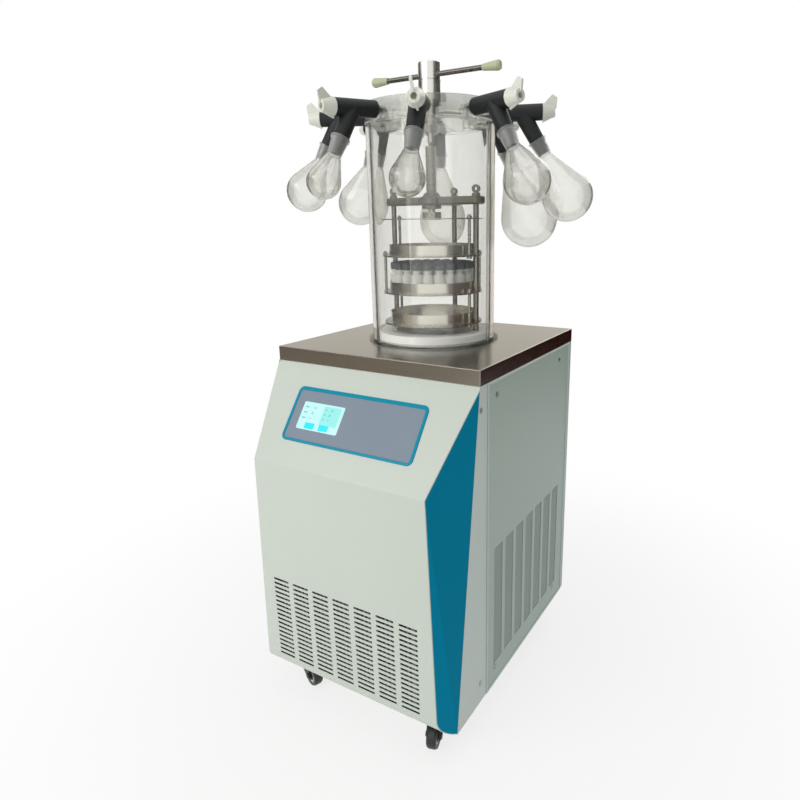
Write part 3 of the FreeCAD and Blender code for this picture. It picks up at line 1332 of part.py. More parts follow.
def hanger(azimuth, low, high):
    """Rod with a head on the upper plate and a nut under the lower one."""
    r, head, t = HANGER_R, HANGER_HEAD_R, HANGER_HEAD_T
    profile = [
        (0, low - t),
        (head, low - t),
        (head, low),
        (r, low),
        (r, high),
        (head, high),
        (head, high + t),
        (r, high + t),
        (r, high + t + HANGER_TIP),
        (0, high + t + HANGER_TIP),
    ]
    return spun(profile).translated(on_circle(HANGER_CIRCLE, azimuth, 0))


def shelves():
    low, middle, high = SHELF_LEVELS
    both = OUTER_HANGERS + MIDDLE_HANGERS
    solids = []
    for level, azimuths in ((low, OUTER_HANGERS), (middle, both), (high, both)):
        top = level + SHELF_T
        shelf = disc(SHELF_R, level, top).cut(post_slots(SHELF_R, level, top))
        solids.append(shelf.cut(hanger_holes(azimuths, level, top)))
    for azimuth in OUTER_HANGERS:
        solids.append(hanger(azimuth, low, middle + SHELF_T))
        solids.append(hanger(azimuth, high, STOPPER_PLATE_Z + STOPPER_PLATE_T))
    for azimuth in MIDDLE_HANGERS:
        solids.append(hanger(azimuth, middle, high + SHELF_T))
    return solids


def trays():
    solids = []
    for level in SHELF_LEVELS:
        floor = level + SHELF_T
        cup = disc(TRAY_R, floor, floor + TRAY_H)
        solids.append(cup.cut(disc(TRAY_R - TRAY_WALL, floor + TRAY_WALL, floor + TRAY_H)))
    return solids


def vial_places():
    """Vials stand in rings, as many in each as fit, from the tray's wall inwards."""
    places = []
    radius = TRAY_R - TRAY_WALL - VIAL_R - VIAL_GAP
    while radius > VIAL_R + VIAL_GAP:
        count = int(math.pi / math.asin((VIAL_R + VIAL_GAP / 2) / radius))
        for n in range(count):
            place = on_circle(radius, 360 * n / count, 0)
            places.append((place.x, place.y))
        radius -= 2 * VIAL_R + VIAL_GAP
    return places


def vials():
    floor = SHELF_LEVELS[1] + SHELF_T + TRAY_WALL
    top = floor + VIAL_H
    profile = [(0, floor), (VIAL_R, floor), (VIAL_R, floor + VIAL_BODY_H), (VIAL_NECK_R, top), (0, top)]
    vial = spun(profile)
    return [vial.translated(Vector(x, y, 0)) for x, y in vial_places()]


def stoppers():
    low = SHELF_LEVELS[1] + SHELF_T + TRAY_WALL + VIAL_H
    return [disc(CAP_R, low, low + CAP_H, x, y) for x, y in vial_places()]


# ===============================================================================================
# Flask valves. Each is drawn with its arm along +X and then turned to its port.

BRANCH_AXIS = Vector(math.sin(math.radians(BRANCH_TILT)), 0, -math.cos(math.radians(BRANCH_TILT)))
CROSSING = Vector(JUNCTION, 0, PORT_Z)


def valve_placed(shape, number):
    sag, roll = VALVES[number][1:3]
    root = Vector(LID_R, 0, PORT_Z)
    moved = shape.copy().rotate(root, Vector(1, 0, 0), roll).rotate(root, Vector(0, 1, 0), sag)
    return turned(moved, VALVE_FIRST + number * VALVE_STEP)


def along_arm(distance):
    return Vector(distance, 0, PORT_Z)


def taper_radii():
    """The male end of the valve stays inside the flask's tapered neck."""
    rim = NECK_RIM_R - GLASS_T - PART_GAP
    slope = (NECK_RIM_R - NECK_ROOT_R) / NECK_L
    return rim, rim - slope * TAPER_L


def valve_body(number):
    arm = rod(ARM_R, along_arm(ARM_INNER), along_arm(ARM_OUTER))
    shoulder = CROSSING + BRANCH_AXIS * BRANCH_L
    branch = cone(CROSSING, BRANCH_TOP_R, shoulder, BRANCH_END_R)
    rim, tip = taper_radii()
    male = cone(shoulder, rim, shoulder + BRANCH_AXIS * TAPER_L, tip)
    soft = fused(arm, branch, male)
    soft = soft.cut(rod(PLUG_R + RUN_GAP, along_arm(PLUG_INNER), along_arm(ARM_OUTER + 1)))
    soft = soft.cut(rod(BRANCH_BORE_R, CROSSING, CROSSING + BRANCH_AXIS * (BRANCH_L + TAPER_L + 1)))
    soft = soft.cut(rod(ARM_BORE_R, along_arm(ARM_INNER - 1), along_arm(PLUG_INNER + 1)))
    nipple = rod(NIPPLE_R, along_arm(NIPPLE_INNER), along_arm(ARM_INNER + 3))
    nipple = nipple.cut(rod(ARM_BORE_R, along_arm(NIPPLE_INNER), along_arm(ARM_INNER + 3)))
    straight = turned(nipple, VALVE_FIRST + number * VALVE_STEP)
    return straight.fuse(valve_placed(soft, number)).removeSplitter()


def valve_plug(number):
    """Turning plug with an L-shaped passage, a tapered knob and the thumb wing that runs through it."""
    shaft = rod(PLUG_R, along_arm(PLUG_INNER + PART_GAP), along_arm(ARM_OUTER + 1))
    start = ARM_OUTER + PART_GAP
    end = start + KNOB_L
    knob = cone(along_arm(start), KNOB_R, along_arm(end), KNOB_END_R)
    outline = [along_arm(start + out) + Vector(0, -WING_T / 2, rise) for out, rise in WING]
    wing = prism(outline, Vector(0, WING_T, 0))
    hole = rod(KNOB_HOLE_R, along_arm(end - KNOB_HOLE_DEEP), along_arm(end + KNOB_L))
    plug = fused(shaft, knob, wing).cut(hole)
    plug = plug.cut(rod(PLUG_PORT_R, along_arm(PLUG_INNER), CROSSING))
    plug = plug.cut(rod(PLUG_PORT_R, CROSSING, CROSSING - Vector(0, 0, PLUG_R + 1)))
    turn = VALVES[number][3]
    return valve_placed(plug.rotate(CROSSING, Vector(1, 0, 0), turn), number)


def flask_profile(bulb_r, bulb_at, wall):
    """Neck, tangent shoulder and bulb in one outline from the rim to the bottom, drawn in by the wall."""
    r = bulb_r - wall
    root_r = NECK_ROOT_R - wall
    reach = math.hypot(bulb_at - NECK_L, root_r)
    start_angle = math.atan2(root_r, -(bulb_at - NECK_L))
    touch = start_angle - math.acos(r / reach)
    touch_point = Vector(r * math.sin(touch), 0, -(bulb_at + r * math.cos(touch)))
    middle = Vector(r * math.sin(touch / 2), 0, -(bulb_at + r * math.cos(touch / 2)))
    bottom = Vector(0, 0, -(bulb_at + r))
    return touch_point, middle, bottom, Vector(root_r, 0, -NECK_L)


def glass_flask(bulb_r, bulb_at):
    touch, middle, bottom, root = flask_profile(bulb_r, bulb_at, 0)
    in_touch, in_middle, in_bottom, in_root = flask_profile(bulb_r, bulb_at, GLASS_T)
    slope = (NECK_RIM_R - NECK_ROOT_R) / NECK_L
    corners = [
        Vector(NECK_RIM_R - GLASS_T, 0, 0),
        Vector(BEAD_R, 0, 0),
        Vector(BEAD_R, 0, -BEAD_T),
        Vector(NECK_RIM_R - slope * BEAD_T, 0, -BEAD_T),
        root,
        touch,
    ]
    edges = [Part.makeLine(a, b) for a, b in zip(corners, corners[1:])]
    edges.append(Part.Arc(touch, middle, bottom).toShape())
    edges.append(Part.makeLine(bottom, in_bottom))
    edges.append(Part.Arc(in_bottom, in_middle, in_touch).toShape())
    edges.append(Part.makeLine(in_touch, in_root))
    edges.append(Part.makeLine(in_root, corners[0]))
    return Part.Face(Part.Wire(edges)).revolve(Vector(0, 0, 0), Vector(0, 0, 1), 360)


def flask(number):
    size = VALVES[number][0]
    glass = glass_flask(*size)
    glass = glass.rotate(Vector(0, 0, 0), Vector(0, 1, 0), -BRANCH_TILT)
    return valve_placed(glass.translated(CROSSING + BRANCH_AXIS * BRANCH_L), number)


# ===============================================================================================

save("front_panel", front_panel())
save("corner_cheeks", *corner_cheeks())
save("corner_strips", *corner_strips())
save("side_panels", *side_panels())
save("rear_panel", rear_panel())
save("base_pan", base_pan())
save("top_plate", worktop())
save("frame", frame())
save("panel_screws", *panel_screws())
save("display_bezel", display_bezel())
save("touch_screen", touch_screen())
save("control_box", control_box())
save("cold_trap", cold_trap())
save("trap_insulation", trap_insulation())
save("vacuum_port", vacuum_port())
save("drain_valve", drain_valve())
save("drain_lever", drain_lever())
save("compressor", compressor())
save("condenser", condenser())
save("fan_cowl", fan_cowl())
save("fan_rotor", fan_rotor())
save("power_inlet", power_inlet())
save("power_switch", power_switch())
for corner in CASTER_YAWS:
    save("caster_fork_" + corner, caster_fork(corner))
    save("caster_wheel_" + corner, *caster_wheel(corner))
for corner in BRAKED:
    save("brake_pedal_" + corner, brake_pedal(corner))
save("chamber_seals", *chamber_seals())
save("base_ring", base_ring())
save("support_ring", support_ring())
save("chamber_tube", ring(TUBE_R, TUBE_INNER, WORKTOP_Z + SEAL_T, TUBE_TOP))
save("chamber_lid", chamber_lid())
save("gland", *gland())
save("handle_hub", handle_hub())
save("tee_bar", tee_bar())
save("bar_caps", *bar_caps())
save("guide_posts", *guide_posts())
save("bridge_plate", bridge_plate())
save("press_screw", press_screw())
save("stopper_plate", stopper_plate())
save("shelves", *shelves())
save("trays", *trays())
save("vials", *vials())
save("stoppers", *stoppers())
save("valve_bodies", *[valve_body(n) for n in range(len(VALVES))])
save("flasks", *[flask(n) for n in range(len(VALVES))])
for n in range(len(VALVES)):
    save("valve_plug_" + str(n + 1), valve_plug(n))
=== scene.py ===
import json
import math

import bpy
import numpy as np
from mathutils import Matrix, Vector


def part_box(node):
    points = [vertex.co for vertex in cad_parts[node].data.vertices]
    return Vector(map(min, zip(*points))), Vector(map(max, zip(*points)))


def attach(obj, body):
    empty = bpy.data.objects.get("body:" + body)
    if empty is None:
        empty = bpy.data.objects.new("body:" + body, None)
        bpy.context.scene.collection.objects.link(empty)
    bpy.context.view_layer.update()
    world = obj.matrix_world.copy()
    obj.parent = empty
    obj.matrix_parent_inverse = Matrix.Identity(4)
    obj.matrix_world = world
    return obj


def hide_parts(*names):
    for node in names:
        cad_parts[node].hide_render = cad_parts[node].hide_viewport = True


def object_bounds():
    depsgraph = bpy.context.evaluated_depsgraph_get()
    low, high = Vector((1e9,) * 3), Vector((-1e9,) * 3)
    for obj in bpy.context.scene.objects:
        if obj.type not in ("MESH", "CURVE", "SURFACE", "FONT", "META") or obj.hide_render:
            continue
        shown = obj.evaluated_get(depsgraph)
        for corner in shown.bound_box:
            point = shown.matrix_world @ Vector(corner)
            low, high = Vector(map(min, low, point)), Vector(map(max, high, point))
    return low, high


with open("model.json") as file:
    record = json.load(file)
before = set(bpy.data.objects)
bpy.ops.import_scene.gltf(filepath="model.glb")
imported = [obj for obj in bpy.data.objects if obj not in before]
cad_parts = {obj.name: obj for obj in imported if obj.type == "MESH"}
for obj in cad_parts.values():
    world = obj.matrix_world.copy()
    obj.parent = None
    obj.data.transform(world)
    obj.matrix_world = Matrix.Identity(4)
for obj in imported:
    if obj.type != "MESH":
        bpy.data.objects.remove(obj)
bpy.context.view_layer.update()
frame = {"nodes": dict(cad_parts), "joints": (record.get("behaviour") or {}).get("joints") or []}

# ===============================================================================================
# Cabinet covers. Front, corner strips, sides, rear and floor are folded 1.2 mm steel under pale
# grey polyester powder, baked until it flows to a satin coat with a shallow orange peel.
# The sides carry pressed bands with fine round holes; the two corner facets are sprayed blue.
# The sides and rear are drawn in a darker copy of the grey and the corner strips in a lighter
# one: painted shade and painted light, for how the lamps fall on them.

MM = 0.001
COAT_GREY = "#D3DAD2"
# The strip and side colours are the front's grey drawn lighter and darker: painted light and painted
# shade.
COAT_STRIP_LIT = "#D9E2DF"
COAT_SIDE_SHADED = "#B8C7C0"
COAT_BLUE = "#008DB5"
# The holes' colour is painted shade for the unlit inside behind them.
HOLE_SHADE = "#4B5653"
PEEL_MM = 1.8
PEEL_DEEP_MM = 0.035
FOLD_ROUND_MM = 1.2
HOLE_PITCH_MM = 3.0
HOLE_EDGE = (0.26, 0.38)  # where a hole ends and full sheet begins, as shares of the pitch
HOLE_DEEP_MM = 0.4
BAND_DEPTH_MM = 0.8
BAND_TOLERANCE_MM = 0.1


def linear(code):
    """An sRGB hex colour as linear RGBA: each channel over 255 goes back through the sRGB curve."""
    parts = [int(code[i : i + 2], 16) / 255 for i in (1, 3, 5)]
    return [p / 12.92 if p <= 0.04045 else ((p + 0.055) / 1.055) ** 2.4 for p in parts] + [1.0]


def add(tree, kind, inputs=None, **settings):
    """Adds a shader node: settings are its properties, inputs its sockets, each a number or a link."""
    made = tree.nodes.new("ShaderNode" + kind)
    for name, value in settings.items():
        setattr(made, name, value)
    for name, value in (inputs or {}).items():
        if isinstance(value, bpy.types.NodeSocket):
            tree.links.new(value, made.inputs[name])
        else:
            made.inputs[name].default_value = value
    return made


def finish(name, colour, **sockets):
    """A material with one Principled surface. Returns it, its tree and the shader's node."""
    material = bpy.data.materials.new(name)
    material.use_nodes = True
    tree = material.node_tree
    surface = tree.nodes["Principled BSDF"]
    surface.inputs["Base Color"].default_value = linear(colour)
    for socket, value in sockets.items():
        surface.inputs[socket.replace("_", " ")].default_value = value
    return material, tree, surface


def coords(tree, size_mm, stretch=(1, 1, 1)):
    """Object coordinates counted in cells of size_mm, stretched along the axes."""
    place = add(tree, "TexCoord")
    scale = [1 / (size_mm * MM * s) for s in stretch]
    return add(tree, "Mapping", {"Vector": place.outputs["Object"], "Scale": scale}).outputs[0]


def noise(tree, size_mm, detail=2.0, stretch=(1, 1, 1)):
    """A soft cloud pattern from 0 to 1 whose spots are size_mm across."""
    inputs = {"Vector": coords(tree, size_mm, stretch), "Scale": 1.0, "Detail": detail}
    return add(tree, "TexNoise", inputs).outputs["Fac"]


def shade(colour, share):
    """A hex colour as linear RGBA, with its light cut down to a share."""
    return [c * share for c in linear(colour)[:3]] + [1.0]


def blend(tree, share, low, high, socket):
    """Feeds a socket a colour that goes from low to high with the share."""
    mixed = add(tree, "Mix", {"Factor": share, 6: low, 7: high}, data_type="RGBA")
    tree.links.new(mixed.outputs[2], socket)


def clouded(tree, surface, colour, change, size_mm):
    """Base colour that drifts softly over size_mm, darker by up to the change."""
    drift = noise(tree, size_mm, detail=3.0)
    blend(tree, drift, shade(colour, 1 - change), linear(colour), surface.inputs["Base Color"])


def bump(tree, surface, height, depth_mm):
    """Feeds a height pattern into the surface as a relief depth_mm deep."""
    relief = add(tree, "Bump", {"Height": height, "Distance": depth_mm * MM, "Strength": 1.0})
    tree.links.new(relief.outputs[0], surface.inputs["Normal"])
    return relief


def rounded(tree, relief, radius_mm):
    """Lets the light run round the edges, as folds and powder do, within radius_mm of each."""
    edge = add(tree, "Bevel", {"Radius": radius_mm * MM}, samples=4)
    tree.links.new(edge.outputs[0], relief.inputs["Normal"])


def powder_coat(name, colour, sheen=0.5, roughness=0.38):
    """Baked polyester powder: satin, the peel shows as a slow ripple in the reflections."""
    material, tree, surface = finish(name, colour, Roughness=roughness, Specular_IOR_Level=sheen)
    clouded(tree, surface, colour, change=0.05, size_mm=240)
    relief = bump(tree, surface, noise(tree, PEEL_MM), PEEL_DEEP_MM)
    rounded(tree, relief, FOLD_ROUND_MM)
    return material


def perforated_coat(name, colour):
    """The same coat on the pressed bands, where round holes stand in staggered rows.
    The holes are drawn at 3 mm spacing, coarser than the real sheet, so that they show.
    Each hole is painted dark: painted shade, for the unlit inside seen through it."""
    material, tree, surface = finish(name, colour, Roughness=0.45, Specular_IOR_Level=0.3)
    cells = coords(tree, HOLE_PITCH_MM, (1, 1, math.sqrt(3) / 2))
    place = add(tree, "SeparateXYZ", {"Vector": cells})
    across, up = place.outputs["Y"], place.outputs["Z"]
    row = add(tree, "Math", {0: up}, operation="FLOOR").outputs[0]
    shift = add(tree, "Math", {0: row, 1: 0.5}, operation="MULTIPLY").outputs[0]
    u = add(tree, "Math", {0: across, 1: shift}, operation="ADD").outputs[0]
    offsets = []
    for value in (u, up):
        part = add(tree, "Math", {0: value}, operation="FRACT").outputs[0]
        offsets.append(add(tree, "Math", {0: part, 1: 0.5}, operation="SUBTRACT").outputs[0])
    middle = add(tree, "CombineXYZ", {"X": offsets[0], "Y": offsets[1]})
    distance = add(tree, "VectorMath", {0: middle.outputs[0]}, operation="LENGTH").outputs["Value"]
    edge = {"Value": distance, "From Min": HOLE_EDGE[0], "From Max": HOLE_EDGE[1]}
    solid = add(tree, "MapRange", edge).outputs[0]
    # Painted shade: the holes take a dark colour in place of the unlit inside.
    blend(tree, solid, linear(HOLE_SHADE), linear(colour), surface.inputs["Base Color"])
    bump(tree, surface, solid, HOLE_DEEP_MM)
    return material


def paint(node, *materials):
    """Gives a CAD node its materials, in place of the plain one it came with."""
    mesh = frame["nodes"][node].data
    mesh.materials.clear()
    for material in materials:
        mesh.materials.append(material)


def corners(node):
    """Corner points and triangles of a CAD node, as arrays."""
    mesh = frame["nodes"][node].data
    points = np.empty(len(mesh.vertices) * 3)
    mesh.vertices.foreach_get("co", points)
    triangles = np.empty(len(mesh.loops), int)
    mesh.loops.foreach_get("vertex_index", triangles)
    return points.reshape(-1, 3), triangles.reshape(-1, 3)


grey_coat = powder_coat("powder_coat_grey", COAT_GREY)
# Sides and rear take the darker copy of the grey, painted shade; the strips take the lighter copy,
# painted light.
shaded_side_coat = powder_coat("powder_coat_side_shaded", COAT_SIDE_SHADED, sheen=0.3)
lit_strip_coat = powder_coat("powder_coat_strip_lit", COAT_STRIP_LIT, sheen=0.3)
for node in ("front_panel", "base_pan"):
    paint(node, grey_coat)
paint("corner_strips", lit_strip_coat)
paint("rear_panel", shaded_side_coat)
paint("corner_cheeks", powder_coat("powder_coat_blue", COAT_BLUE, sheen=0.04, roughness=0.5))
paint("side_panels", shaded_side_coat, perforated_coat("perforated_band", COAT_SIDE_SHADED))

points, triangles = corners("side_panels")
middles = np.abs(points[triangles].mean(1)[:, 0])
band_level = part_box("side_panels")[1].x - BAND_DEPTH_MM * MM
in_band = np.abs(middles - band_level) < BAND_TOLERANCE_MM * MM
frame["nodes"]["side_panels"].data.polygons.foreach_set("material_index", in_band.astype(np.int32))

# ===============================================================================================
# Frame and inside. The frame is welded from mill-finish angle; the condenser is aluminium fins,
# the compressor a black enamelled pressing, the insulation poured foam, the case zinc-plated.


def uneven_gloss(tree, surface, pattern, low, high):
    """Roughness that follows a pattern, from low where it is 0 to high where it is 1."""
    spread = {"Value": pattern, "To Min": low, "To Max": high}
    tree.links.new(add(tree, "MapRange", spread).outputs[0], surface.inputs["Roughness"])


def plain_metal(name, colour, roughness, grain_mm):
    """Bare metal as rolled or cast: the grain changes its gloss a little from place to place."""
    material, tree, surface = finish(name, colour, Metallic=1.0)
    grain = noise(tree, grain_mm, detail=4.0)
    uneven_gloss(tree, surface, grain, roughness - 0.08, roughness + 0.1)
    bump(tree, surface, grain, depth_mm=0.02)
    return material


def moulded(name, colour, roughness, grain_mm=0.8, depth_mm=0.03, sheen=0.5):
    """Injection-moulded plastic or enamel with a fine spark-eroded grain."""
    material, tree, surface = finish(name, colour, Roughness=roughness, Specular_IOR_Level=sheen)
    clouded(tree, surface, colour, change=0.12, size_mm=40)
    bump(tree, surface, noise(tree, grain_mm), depth_mm)
    return material


black_plastic = moulded("black_polyamide", "#1B1D1D", roughness=0.42)
black_enamel = moulded("black_enamel", "#151617", roughness=0.25, grain_mm=2.0, depth_mm=0.05)
poured_foam = moulded("poured_foam", "#D8C58E", roughness=0.9, grain_mm=2.5, depth_mm=0.6)
paint("frame", plain_metal("welded_angle", "#8D8F8C", roughness=0.45, grain_mm=6))
paint("condenser", plain_metal("condenser_fins", "#A9ADAC", roughness=0.4, grain_mm=3))
paint("compressor", black_enamel)
paint("trap_insulation", poured_foam)
paint("control_box", plain_metal("zinc_plate", "#B4B6B3", roughness=0.42, grain_mm=20))
for node in ("fan_cowl", "fan_rotor", "power_inlet", "power_switch"):
    paint(node, black_plastic)

# ===============================================================================================
# Worktop. One folded stainless sheet, ground with a belt along its width, so its reflections
# smear across the grain; the folded corners keep a narrow brighter band.

STEEL = "#99938A"
GRAIN_MM = 0.5
GRAIN_RUN_MM = 90
SCRATCH_DEEP_MM = 0.008
SCRATCH_TONE = 0.86


def ground_steel(name, colour, roughness):
    """Belt-ground stainless: scratches long along X and half a millimetre apart across it."""
    material, tree, surface = finish(name, colour, Metallic=1.0)
    stretch = (GRAIN_RUN_MM / GRAIN_MM, 1, 1)
    lines = noise(tree, GRAIN_MM, detail=3.0, stretch=stretch)
    uneven_gloss(tree, surface, lines, roughness - 0.07, roughness + 0.1)
    dark = shade(colour, SCRATCH_TONE)
    blend(tree, lines, dark, linear(colour), surface.inputs["Base Color"])
    relief = bump(tree, surface, lines, SCRATCH_DEEP_MM)
    rounded(tree, relief, FOLD_ROUND_MM)
    return material


paint("top_plate", ground_steel("ground_worktop", STEEL, roughness=0.2))

# ===============================================================================================
# Screws, pipework and cold trap. Zinc-plated screws hold the side panels and strips. The vacuum
# port is turned stainless, the drain valve nickelled brass with a stainless lever, and the trap
# a stainless pot hung under the worktop's hole.

paint("panel_screws", plain_metal("zinc_screws", "#9EA4A0", roughness=0.35, grain_mm=2))
paint("vacuum_port", plain_metal("turned_port", "#C2C0BB", roughness=0.25, grain_mm=4))
paint("drain_valve", plain_metal("nickelled_brass", "#C4B48C", roughness=0.3, grain_mm=4))
paint("drain_lever", plain_metal("lever_steel", "#BDBBB5", roughness=0.3, grain_mm=4))
paint("cold_trap", plain_metal("trap_steel", "#BEBCB6", roughness=0.28, grain_mm=12))

# ===============================================================================================
# Control panel. A printed polyester film on a plate with a raised blue rim, and a lit touch
# screen behind its window. The screen shows readings and two keys, with no words.

FILM_GREY = "#8C98A8"
RIM_BLUE = "#0A97B7"
SCREEN_GROUND = "#C4F9F8"
SCREEN_PANE = "#9CF5F2"
SCREEN_KEY = "#06E6FA"
SCREEN_FIGURE = "#8CCFCB"
SLOPE_BACK_MM = 125.2
SLOPE_RISE_MM = 167.9
SLOPE_ANGLE = math.atan2(SLOPE_BACK_MM, SLOPE_RISE_MM)
FACE_TOLERANCE_MM = 0.01
RIM_MM = 6.0
RIM_TOP_MM = 1.2
RIM_ROUND_MM = 1.2
RIM_ARC_DEG = (30, 60, 90)
RIM_STEP_MM = 0.6
FIELD_LOW_MM = 0.9
BEZEL_CORNER_MM = 12.0
LEAST_CORNER_MM = 2.0
WINDOW_CORNER_MM = 3.0
WINDOW_GAP_MM = 0.8
ARC_STEPS = 10
WEAVE_MM = 0.6

# The screen's print, in millimetres from the middle of the screen: x, then up the slope. A pane
# or a key is its place, width, height and corner radius.
TILE_MM = 0.12
PANE = (22.5, 4.5, 41, 38, 1.5)
KEY_PLACES = ((-18.5, -19.5), (15.5, -19.5))
KEY_SIZE = (23, 12, 1.5)
TOP_ROW = 17
MARK_ROUND = 0.6
COLUMNS = [
    {"mark_x": -39, "mark": (8, 2.2), "x": -23, "step": 11, "figures": ("-52", "20", "0")},
    {"mark_x": 8, "mark": (5, 1.8), "x": 18, "step": 10, "figures": ("-50", "30", "15")},
]
DIGIT_HIGH = 3.6
DIGIT_SPACING = 0.75  # from digit to digit, as a share of their height
STROKE_THICK = 0.5
STROKE_ROUND = 0.2
LYING_LONG, STANDING_LONG = 0.8, 0.9  # strokes as shares of half the height
SEGMENTS = {"-": "g", "0": "abcdef", "1": "bc", "2": "abged", "3": "abgcd", "5": "afgcd"}
STROKES = {
    "a": (0, 1, 1, 0), "b": (0.5, 0.5, 0, 1), "c": (0.5, -0.5, 0, 1), "d": (0, -1, 1, 0),
    "e": (-0.5, -0.5, 0, 1), "f": (-0.5, 0.5, 0, 1), "g": (0, 0, 1, 0),
}

up_slope = np.array([0, math.sin(SLOPE_ANGLE), math.cos(SLOPE_ANGLE)])
off_slope = np.array([0, -math.cos(SLOPE_ANGLE), math.sin(SLOPE_ANGLE)])


def outer_face(node, out):
    """Middle, width and height of the flat face of a node that lies furthest along out."""
    spots = corners(node)[0]
    level = spots @ out
    face = spots[level > level.max() - FACE_TOLERANCE_MM * MM]
    run = face @ up_slope
    middle = (face.min(0) + face.max(0)) / 2
    return middle, np.ptp(face[:, 0]), np.ptp(run)


def rounded_outline(width, height, radius):
    """Points round a rectangle with quarter-circle corners: each is its corner's centre plus the
    radius times the direction."""
    turn = np.linspace(0, math.pi / 2, ARC_STEPS)
    turns = np.concatenate([turn + k * math.pi / 2 for k in range(4)])
    signs = np.repeat([(1, 1), (-1, 1), (-1, -1), (1, -1)], ARC_STEPS, axis=0)
    centre = signs * [width / 2 - radius, height / 2 - radius]
    return centre + radius * np.stack([np.cos(turns), np.sin(turns)], axis=1)


def skin(rings, start=None, end=None):
    """Vertices and faces over closed rings of points (rows, columns, 3): each quad joins two
    neighbours of one ring to the same two of the next. start and end are points that close it."""
    rows, columns = rings.shape[:2]
    first = np.arange(rows * columns).reshape(rows, columns)
    beside = np.roll(first, -1, axis=1)
    quads = np.stack([first[:-1], beside[:-1], beside[1:], first[1:]], axis=-1).reshape(-1, 4)
    vertices = [rings.reshape(-1, 3)]
    faces = quads.tolist()
    count = rows * columns
    if start is not None:
        vertices.append(np.reshape(start, (1, 3)))
        faces += [[count, b, a] for a, b in zip(first[0].tolist(), beside[0].tolist())]
        count += 1
    if end is not None:
        vertices.append(np.reshape(end, (1, 3)))
        faces += [[count, a, b] for a, b in zip(first[-1].tolist(), beside[-1].tolist())]
    return np.concatenate(vertices), faces


def piece(name, skins, materials, body, stands_for=(), sharp_deg=35, choice=None):
    """Builds one object from skins, smooth but for edges sharper than sharp_deg, riding on a body."""
    vertices, faces, chosen, count = [], [], [], 0
    for number, (points, quads) in enumerate(skins):
        vertices.append(points)
        faces += [[i + count for i in face] for face in quads]
        chosen += [choice[number] if choice else 0] * len(quads)
        count += len(points)
    mesh = bpy.data.meshes.new(name)
    mesh.from_pydata(np.concatenate(vertices).tolist(), [], faces)
    for material in materials:
        mesh.materials.append(material)
    mesh.polygons.foreach_set("material_index", chosen)
    mesh.polygons.foreach_set("use_smooth", [True] * len(mesh.polygons))
    mesh.set_sharp_from_angle(angle=math.radians(sharp_deg))
    mesh.update()
    made = bpy.data.objects.new(name, mesh)
    bpy.context.scene.collection.objects.link(made)
    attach(made, body)
    if stands_for:
        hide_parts(*stands_for)
    return made


plate_middle, plate_w, plate_h = outer_face("display_bezel", off_slope)
screen_middle, screen_w, screen_h = outer_face("touch_screen", off_slope)
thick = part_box("display_bezel")[1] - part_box("display_bezel")[0]
plate_t = (thick.y - plate_h * math.sin(SLOPE_ANGLE)) / math.cos(SLOPE_ANGLE)
window_middle = screen_middle - off_slope * np.dot(screen_middle - plate_middle, off_slope)


def on_slope(outline, height, middle):
    """Puts a flat outline on the slope, at a height over the plate's back."""
    flat = outline[:, :1] * [1, 0, 0] + outline[:, 1:] * up_slope
    return middle + flat + off_slope * (height - plate_t)


def bezel_rings():
    """Rings from the plate's back round the rim and over the field to the window: the outline
    draws in by a quarter round at the rim, steps down to the field and ends on the window's edge."""

    def drawn(inset, height, lower=0):
        radius = max(BEZEL_CORNER_MM * MM - inset, LEAST_CORNER_MM * MM)
        outline = rounded_outline(plate_w - 2 * inset, plate_h - 2 * inset, radius)
        return on_slope(outline, height, plate_middle - up_slope * lower)

    r = RIM_ROUND_MM * MM
    field = plate_t - FIELD_LOW_MM * MM
    rim = [drawn(0, 0), drawn(0, plate_t - r)]
    for turn in np.radians(RIM_ARC_DEG):
        rim.append(drawn(r * (1 - math.cos(turn)), plate_t - r + r * math.sin(turn)))
    lower = RIM_TOP_MM * MM
    step_foot = (RIM_MM + RIM_STEP_MM) * MM
    rim += [drawn(RIM_MM * MM, plate_t, lower), drawn(step_foot, field, lower)]
    gap = WINDOW_GAP_MM * MM
    window = rounded_outline(screen_w + gap, screen_h + gap, WINDOW_CORNER_MM * MM)
    inner = [rim[-1], on_slope(window, field, window_middle), on_slope(window, 0, window_middle)]
    return np.array(rim), np.array(inner)


film_gloss = {"Roughness": 0.42, "Specular_IOR_Level": 0.2}
film, film_tree, film_surface = finish("printed_film", FILM_GREY, **film_gloss)
clouded(film_tree, film_surface, FILM_GREY, change=0.08, size_mm=70)
bump(film_tree, film_surface, noise(film_tree, WEAVE_MM), depth_mm=0.01)
rim_film = moulded("rim_blue", RIM_BLUE, 0.3, grain_mm=WEAVE_MM, depth_mm=0.008, sheen=0.15)
rim_rings, field_rings = bezel_rings()
piece(
    "keypad_bezel",
    [skin(rim_rings), skin(field_rings)],
    [rim_film, film],
    "cabinet",
    ["display_bezel"],
    choice=[0, 1],
)


def lit(name, colour, strength):
    """A lit part of the screen: a dark base under a glossy front, which glows in its own colour,
    a little unevenly."""
    material, tree, surface = finish(name, colour, Roughness=0.12, Emission_Strength=strength)
    surface.inputs["Base Color"].default_value = shade(colour, 0.25)
    uneven = noise(tree, size_mm=30)
    blend(tree, uneven, shade(colour, 0.94), linear(colour), surface.inputs["Emission Color"])
    return material


def tile(x, up, width, height, radius, layer):
    """A thin rounded tile on the screen, placed by its middle; a higher layer stands prouder."""
    lift = TILE_MM * MM * layer
    middle = screen_middle + np.array([x * MM, 0, 0]) + up_slope * up * MM
    outline = rounded_outline(width * MM, height * MM, radius * MM)
    flat = outline[:, :1] * [1, 0, 0] + outline[:, 1:] * up_slope
    rings = np.array([middle + flat, middle + flat + off_slope * lift])
    return skin(rings, middle, middle + off_slope * lift)


